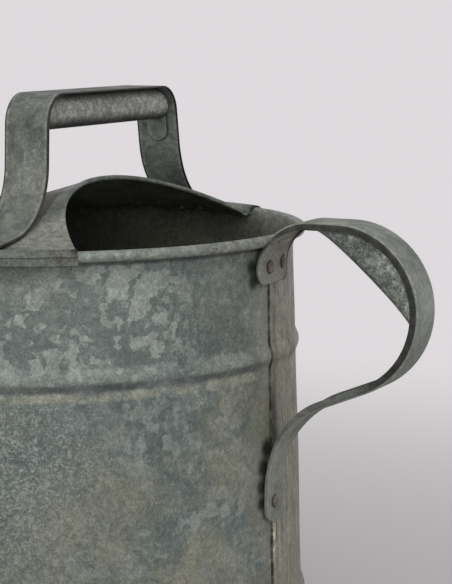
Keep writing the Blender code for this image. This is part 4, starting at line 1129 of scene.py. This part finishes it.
# %% [markdown]
# ## The spout and its stay
# The spout is a tapered tube soldered to the wall through a saddle shaped flange, with a rolled lip. A stay
# runs from the wall below the rim to a band round the spout.

# %% The spout's form
PITCH = math.radians(47.0)
ROOT_Z = 52.0 * MM
ROOT_RADIUS = 27.0 * MM
TIP_RADIUS = 13.0 * MM
SPOUT_LENGTH = 290.0 * MM
LIP_LENGTH, LIP_PROUD = 3.6 * MM, 1.4 * MM
SAG = WALL_TOP_RADIUS * (1.0 - math.cos(math.pi / 40.0))
spout_root = Vector((-wall_radius(ROOT_Z), 0.0, ROOT_Z))
spout_along = Vector((-math.cos(PITCH), 0.0, math.sin(PITCH)))
spout_up = Vector((math.sin(PITCH), 0.0, math.cos(PITCH)))


def spout_radius(at):
    """Outer radius at a distance from the wall."""
    return ROOT_RADIUS + (TIP_RADIUS - ROOT_RADIUS) * at / SPOUT_LENGTH


def spout_point(turn, radius, at):
    """A point round the spout's axis."""
    outward = Vector((0.0, 1.0, 0.0)) * math.cos(turn) + spout_up * math.sin(turn)
    return spout_root + spout_along * at + outward * radius


def saddle_point(turn, radius, off):
    """Where a line along the spout meets the wall, held off from it."""
    low, high = -2.0 * ROOT_RADIUS, 2.0 * ROOT_RADIUS
    for _ in range(32):
        at = (low + high) / 2.0
        point = spout_point(turn, radius, at)
        low, high = (at, high) if math.hypot(point.x, point.y) < wall_radius(point.z) + off else (low, at)
    return spout_point(turn, radius, at)


# %% Make the spout
seat = GAP + SAG
saddle = [(-SHEET, 0.0), (3.0 * MM, 0.0), (7.0 * MM, 0.0), (7.0 * MM, SHEET), (4.5 * MM, 1.3 * SHEET)]
saddle += [(2.2 * MM, 2.0 * SHEET), (0.9 * MM, 3.5 * SHEET), (0.0, 6.5 * SHEET)]
spout_rows = [("saddle", out, off) for out, off in saddle]
spout_rows += [("tube", 0.0, at) for at in spaced(30.0 * MM, SPOUT_LENGTH - 3.8 * MM, 24)]
for turn in spaced(0.1, math.pi - 0.1, 8):
    lip = SPOUT_LENGTH - LIP_LENGTH * (0.5 + 0.5 * math.cos(turn))
    spout_rows.append(("tube", LIP_PROUD * math.sin(turn) ** 0.8, lip))
spout_rows += [("tube", -SHEET, at) for at in spaced(SPOUT_LENGTH, 30.0 * MM, 12)]
spout_rows.append(spout_rows[0])


def spout_corner(u, v):
    """A corner of the spout's sheet."""
    turn = 2.0 * math.pi * u + 0.5 * math.pi
    kind, out, at = spout_rows[round(v * (len(spout_rows) - 1))]
    if kind == "saddle":
        return saddle_point(turn, ROOT_RADIUS + out, seat + at)
    knock = uneven(spout_point(turn, spout_radius(at), at), 30.0 * MM, 0.25 * MM, 12.0)
    return spout_point(turn, spout_radius(at) + out + knock, at)


spout = formed("spout_tube", 97, len(spout_rows), spout_corner)
settle(spout, SPOUT_ZINC, "spout_zinc", "spout")

# %% Path of the stay
STAY_LEVEL_Z = RIM_HEIGHT - 14.0 * MM
STAY_FOOT, STAY_BEND, STAY_END = 22.0 * MM, 9.0 * MM, 18.0 * MM
FOOT_ROUND, END_ROUND = 5.0 * MM, 4.0 * MM
stay_lift = GAP + STRAP + GAP + STRAP / 2.0
slope = (TIP_RADIUS - ROOT_RADIUS) / SPOUT_LENGTH
clip_rise = STAY_LEVEL_Z - ROOT_Z - (ROOT_RADIUS + stay_lift) * math.cos(PITCH)
clip_at = clip_rise / (math.sin(PITCH) + slope * math.cos(PITCH))
stay_turn = math.pi / 2.0 + LEAN
stay_foot = STAY_LEVEL_Z - STAY_BEND * math.sin(stay_turn) - STAY_FOOT
stay_start = Vector((-wall_radius(stay_foot) - GAP - SAG - STRAP / 2.0, stay_foot))
after_bend = stay_start.x + STAY_FOOT * math.sin(LEAN) - STAY_BEND * (math.cos(LEAN) + math.sin(LEAN))
stay_along = PITCH - math.atan(-slope)
landing = spout_root + spout_along * clip_at + spout_up * (spout_radius(clip_at) + stay_lift)
stay_run = abs(landing.x - after_bend) - STAY_BEND * math.tan(stay_along / 2.0)
stay_moves = corner_runs(FOOT_ROUND) + [(STAY_FOOT - FOOT_ROUND, 0.0), (STAY_BEND, stay_turn), (stay_run, 0.0)]
stay_moves += [(STAY_BEND, -stay_along), (STAY_END - END_ROUND, 0.0)] + corner_runs(END_ROUND)[::-1]
stay_stations = trace(stay_start, math.pi / 2.0 - LEAN, stay_moves)
STAY_TOTAL = stay_stations[-1][2]
print("stay", round(STAY_TOTAL, 4), "clip at", round(clip_at, 4))


# %% Make the stay and its clip
def stay_section(station):
    """Turned edges between its two flat ends."""
    gone = station[2]
    width = rounded(rounded(13.8 * MM, gone, FOOT_ROUND), STAY_TOTAL - gone, END_ROUND)
    free = ease(gone, STAY_FOOT, 58.0 * MM) * (1.0 - ease(gone, STAY_TOTAL - 54.0 * MM, STAY_TOTAL - STAY_END))
    return channel(width, 2.0 * MM * free, STRAP)


def stay_place(station, across, out):
    """A point of the stay, which hugs the wall at its foot."""
    place, heading, gone = station
    hug = 1.0 - ease(gone, STAY_FOOT, 40.0 * MM)
    bow = hug * (WALL_TOP_RADIUS - math.sqrt(WALL_TOP_RADIUS ** 2 - across ** 2))
    return Vector((place.x + out * math.sin(heading) + bow, across, place.y - out * math.cos(heading)))


stay = strap("stay_strap", stay_stations, stay_section, stay_place)
settle(stay, STRAP_ZINC, "handle_zinc", "spout_stay")
clip_first = clip_at + 3.0 * MM
clip_rows = [(0.0, GAP), (0.5, GAP), (1.0, GAP), (1.04, GAP + 0.3 * MM), (1.0, GAP + STRAP)]
clip_rows += [(0.5, GAP + 1.1 * STRAP), (0.0, GAP + STRAP), (-0.04, GAP + 0.3 * MM), (0.0, GAP)]
CLIP_WIDTH = 12.0 * MM


def clip_point(u, v):
    """A corner of the band round the spout."""
    share, lift = clip_rows[round(v * (len(clip_rows) - 1))]
    at = clip_first + CLIP_WIDTH * min(1.0, max(0.0, share))
    return spout_point(2.0 * math.pi * u, spout_radius(at) + lift, at)


settle(formed("spout_band", 97, len(clip_rows), clip_point), SPOUT_ZINC, "spout_zinc", "stay_clip")

# %% [markdown]
# ## Base plate and rivets
# The bottom is a pressed dish inside the wall's foot. The rivets are one turned shape, copied to each hole
# with its own mesh, and turned to stand square on the sheet.

# %% Make the base plate
flange = wall_radius(7.5 * MM) - SHEET - GAP
base_profile = [(20.0 * MM, 10.0 * MM), (68.0 * MM, 9.8 * MM), (110.0 * MM, 8.4 * MM)]
base_profile += [(flange - 8.0 * MM, 7.6 * MM), (flange - 2.0 * MM, 7.5 * MM)]
base_profile += [(flange - 0.6 * MM, 6.9 * MM), (flange, 5.5 * MM), (flange, 1.1 * MM)]
base_profile.append((flange - SHEET, 1.1 * MM))
base_profile += [(flange - SHEET, 5.4 * MM), (flange - 2.0 * MM, 6.75 * MM), (flange - 8.0 * MM, 6.85 * MM)]
base_profile += [(110.0 * MM, 7.65 * MM), (20.0 * MM, 9.2 * MM)]
base = turned("base_dish", base_profile, 160)
base.data.transform(Matrix.Translation(AXIS))
settle(base, INSIDE_ZINC, "body_zinc", "base_plate")


# %% Make one rivet
PATTERN_GRIP = 4.0 * MM
rivet_profile = [(0.5 * MM, 1.3 * MM), (1.3 * MM, 1.22 * MM), (2.2 * MM, 1.0 * MM), (2.9 * MM, 0.6 * MM)]
rivet_profile += [(3.3 * MM, 0.2 * MM), (3.35 * MM, 0.0)]
rivet_profile += [(1.5 * MM, 0.0), (1.5 * MM, -PATTERN_GRIP), (2.5 * MM, -PATTERN_GRIP)]
rivet_profile += [(2.1 * MM, -PATTERN_GRIP - 0.7 * MM), (1.0 * MM, -PATTERN_GRIP - 1.1 * MM)]
pattern = turned("rivet_pattern", rivet_profile, 24)


# %% Copy the rivet to a hole
def set_rivet(node, place, outward, grip):
    """A copy of the rivet with its head's seat at a place, standing for its CAD node."""
    hold(pattern)
    bpy.ops.object.duplicate(linked=False)
    piece = bpy.context.object
    piece.name = node.replace("rivet", "stud")
    # Painted shade: a dark ring round the head where it meets the sheet.
    contact_shade = piece.data.attributes.new("painted_shade", "FLOAT", "POINT")
    for number, corner in enumerate(piece.data.vertices):
        contact_shade.data[number].value = 1.0 if abs(corner.co.z) < 0.3 * MM else 0.0
        if corner.co.z > 0.1 * MM:
            corner.co.z += uneven(corner.co + place, 2.0 * MM, 0.12 * MM)
        elif corner.co.z < -PATTERN_GRIP / 2.0:
            corner.co.z += PATTERN_GRIP - grip
    turn = Vector((0.0, 0.0, 1.0)).rotation_difference(outward.normalized())
    moved_out = Matrix.Translation(AXIS + place + outward.normalized() * GAP)
    piece.data.transform(moved_out @ turn.to_matrix().to_4x4())
    settle(piece, STEEL, "dull_steel", node, fold=60.0)


# %% Rivets on the wall
HEAD_SEAT = 0.1 * MM
wall_grip = STRAP + GAP + 2.0 * SHEET + SEAM_PROUD + SAG + 2.0 * GAP
wall_rivets = [("tongue_rivet_1", -5.0 * MM, RIM_HEIGHT - 13.0 * MM)]
wall_rivets.append(("tongue_rivet_2", 10.5 * MM, RIM_HEIGHT - 12.0 * MM))
wall_rivets.append(("heel_rivet", HEEL_SHIFT, rear_stations[-1][0].y + 9.0 * MM))
for node, y, z in wall_rivets:
    across = WALL_TOP_RADIUS if node != "heel_rivet" else wall_radius(z)
    angle = math.asin(y / across)
    head = wall_radius(z) + SEAM_PROUD + GAP + STRAP + HEAD_SEAT
    set_rivet(node, polar(head, angle, z), polar(1.0, angle, 0.0), wall_grip)
z = stay_stations[0][0].y + 9.9 * MM
stay_head = Vector((-wall_radius(z) - SAG - GAP - STRAP - HEAD_SEAT, 0.0, z))
set_rivet("stay_rivet", stay_head, Vector((-1.0, 0.0, 0.0)), STRAP + 4.0 * GAP + SAG + SHEET)

# %% Rivets in the handle's feet
FOOT_LANDING = 94.35 * MM
RIVET_SPREAD = 5.5 * MM
foot_middle = (FOOT_LANDING + BAIL_FOOT) / 2.0
for side, word in ((-1.0, "left"), (1.0, "right")):
    reach, seat, slope = bail_feet[side]
    foot_top = seat - (foot_middle - reach) * math.tan(slope) + STRAP / 2.0
    for number, shift in enumerate((-RIVET_SPREAD, RIVET_SPREAD), 1):
        place = Vector((BAIL_X + shift, side * foot_middle, foot_top))
        grip = foot_top - hood_top(place.x, place.y) + SHEET + 3.0 * GAP
        square = Vector((0.0, side * math.sin(slope), math.cos(slope)))
        set_rivet(f"bail_rivet_{word}_{number}", place, square, grip)
bpy.data.objects.remove(pattern)

# %% [markdown]
# ## CAD nodes that stay
# The wire inside the rim's curl is already round and hardly shows, so it only needs old steel.

# %% Finish the wire
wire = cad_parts["rim_wire"]
wire.data.materials.clear()
wire.data.materials.append(STEEL)
print("kept:", wire.name)

# %% [markdown]
# ## Floor, light and camera
# The photograph was taken from a little above the rim, behind and to one side, in soft daylight. A pale floor
# fades into an equally pale background. One large lamp stands in for the sky, one lights the front, and a weak
# one reaches into the mouth. The camera's place and lens come from fitting the rim's ellipse.

# %% The rays that see the pale background
def eye_rays():
    """1 for what the camera sees, straight, mirrored or through glass."""
    rays = add("ShaderNodeLightPath")
    straight = sums("MAXIMUM", rays.outputs["Is Camera Ray"], rays.outputs["Is Glossy Ray"])
    return sums("MAXIMUM", straight, rays.outputs["Is Transmission Ray"])


# %% The floor
PALE = tint(222, 218, 221)
deselect()
bpy.ops.mesh.primitive_circle_add(vertices=96, radius=6.0, fill_type="NGON", location=(0.0, 0.0, -0.0002))
floor = bpy.context.object
floor.name = "floor"
ground = bpy.data.materials.new("pale_floor")
ground.use_nodes = True
tree = bench["tree"] = ground.node_tree
shader = tree.nodes["Principled BSDF"]
shader.inputs["Base Color"].default_value = tint(200, 197, 199)
shader.inputs["Roughness"].default_value = 0.8
shader.inputs["Specular IOR Level"].default_value = 0.1
glow = add("ShaderNodeEmission", Color=PALE, Strength=1.0)
far = add("ShaderNodeVectorMath", {"operation": "LENGTH"}, Vector=add("ShaderNodeTexCoord").outputs["Object"])
fade = between(far.outputs["Value"], 0.25, 1.1)
blend = add("ShaderNodeMixShader")
put(blend.inputs[0], sums("MULTIPLY", fade, eye_rays()))
tree.links.new(shader.outputs[0], blend.inputs[1])
tree.links.new(glow.outputs[0], blend.inputs[2])
tree.links.new(blend.outputs[0], tree.nodes["Material Output"].inputs[0])
floor.data.materials.append(ground)

# %% The sky
world = bpy.data.worlds.new("soft_sky")
bpy.context.scene.world = world
world.use_nodes = True
tree = bench["tree"] = world.node_tree
sky = tree.nodes["Background"]
sky.inputs["Color"].default_value = tint(232, 232, 230)
sky.inputs["Strength"].default_value = 0.62
plain_sky = add("ShaderNodeBackground", Color=PALE, Strength=1.0)
blend = add("ShaderNodeMixShader")
put(blend.inputs[0], eye_rays())
tree.links.new(sky.outputs[0], blend.inputs[1])
tree.links.new(plain_sky.outputs[0], blend.inputs[2])
tree.links.new(blend.outputs[0], tree.nodes["World Output"].inputs[0])


# %% The lamps
def lamp(name, place, target, size, power):
    """A large square lamp that points at a target."""
    data = bpy.data.lights.new(name, "AREA")
    data.size = size
    data.energy = power
    item = bpy.data.objects.new(name, data)
    bpy.context.scene.collection.objects.link(item)
    item.location = place
    item.rotation_euler = (Vector(target) - Vector(place)).to_track_quat("-Z", "Y").to_euler()
    return item


lamp("sky_lamp", (1.0, -0.8, 1.45), (0.07, 0.0, 0.2), 1.3, 12.5)
lamp("front_lamp", (-0.9, -1.5, 0.9), (0.07, 0.0, 0.2), 1.2, 8.2)
lamp("fill_lamp", (1.0, -1.3, 0.72), (0.07, 0.05, 0.22), 0.7, 3.5)

# %% The camera
scene = bpy.context.scene
scene.view_settings.view_transform = "Standard"
eye = bpy.data.cameras.new("eye")
SENSOR = 36.0
FOCAL_PIXELS, LONG_SIDE = 2000.0, 584.0
eye.lens = FOCAL_PIXELS / LONG_SIDE * SENSOR
eye.sensor_width = SENSOR
camera = bpy.data.objects.new("camera", eye)
scene.collection.objects.link(camera)
place = Matrix.Translation((0.5905, -0.8721, 0.3534))
forward = Vector((-0.4266, 0.8938, -0.1381))
upward = Vector((-0.0595, 0.1246, 0.9904))
sideways = forward.cross(upward)
camera.matrix_world = place @ Matrix((sideways, upward, -forward)).transposed().to_4x4()
scene.camera = camera
print("pieces made:", len(pieces_made))
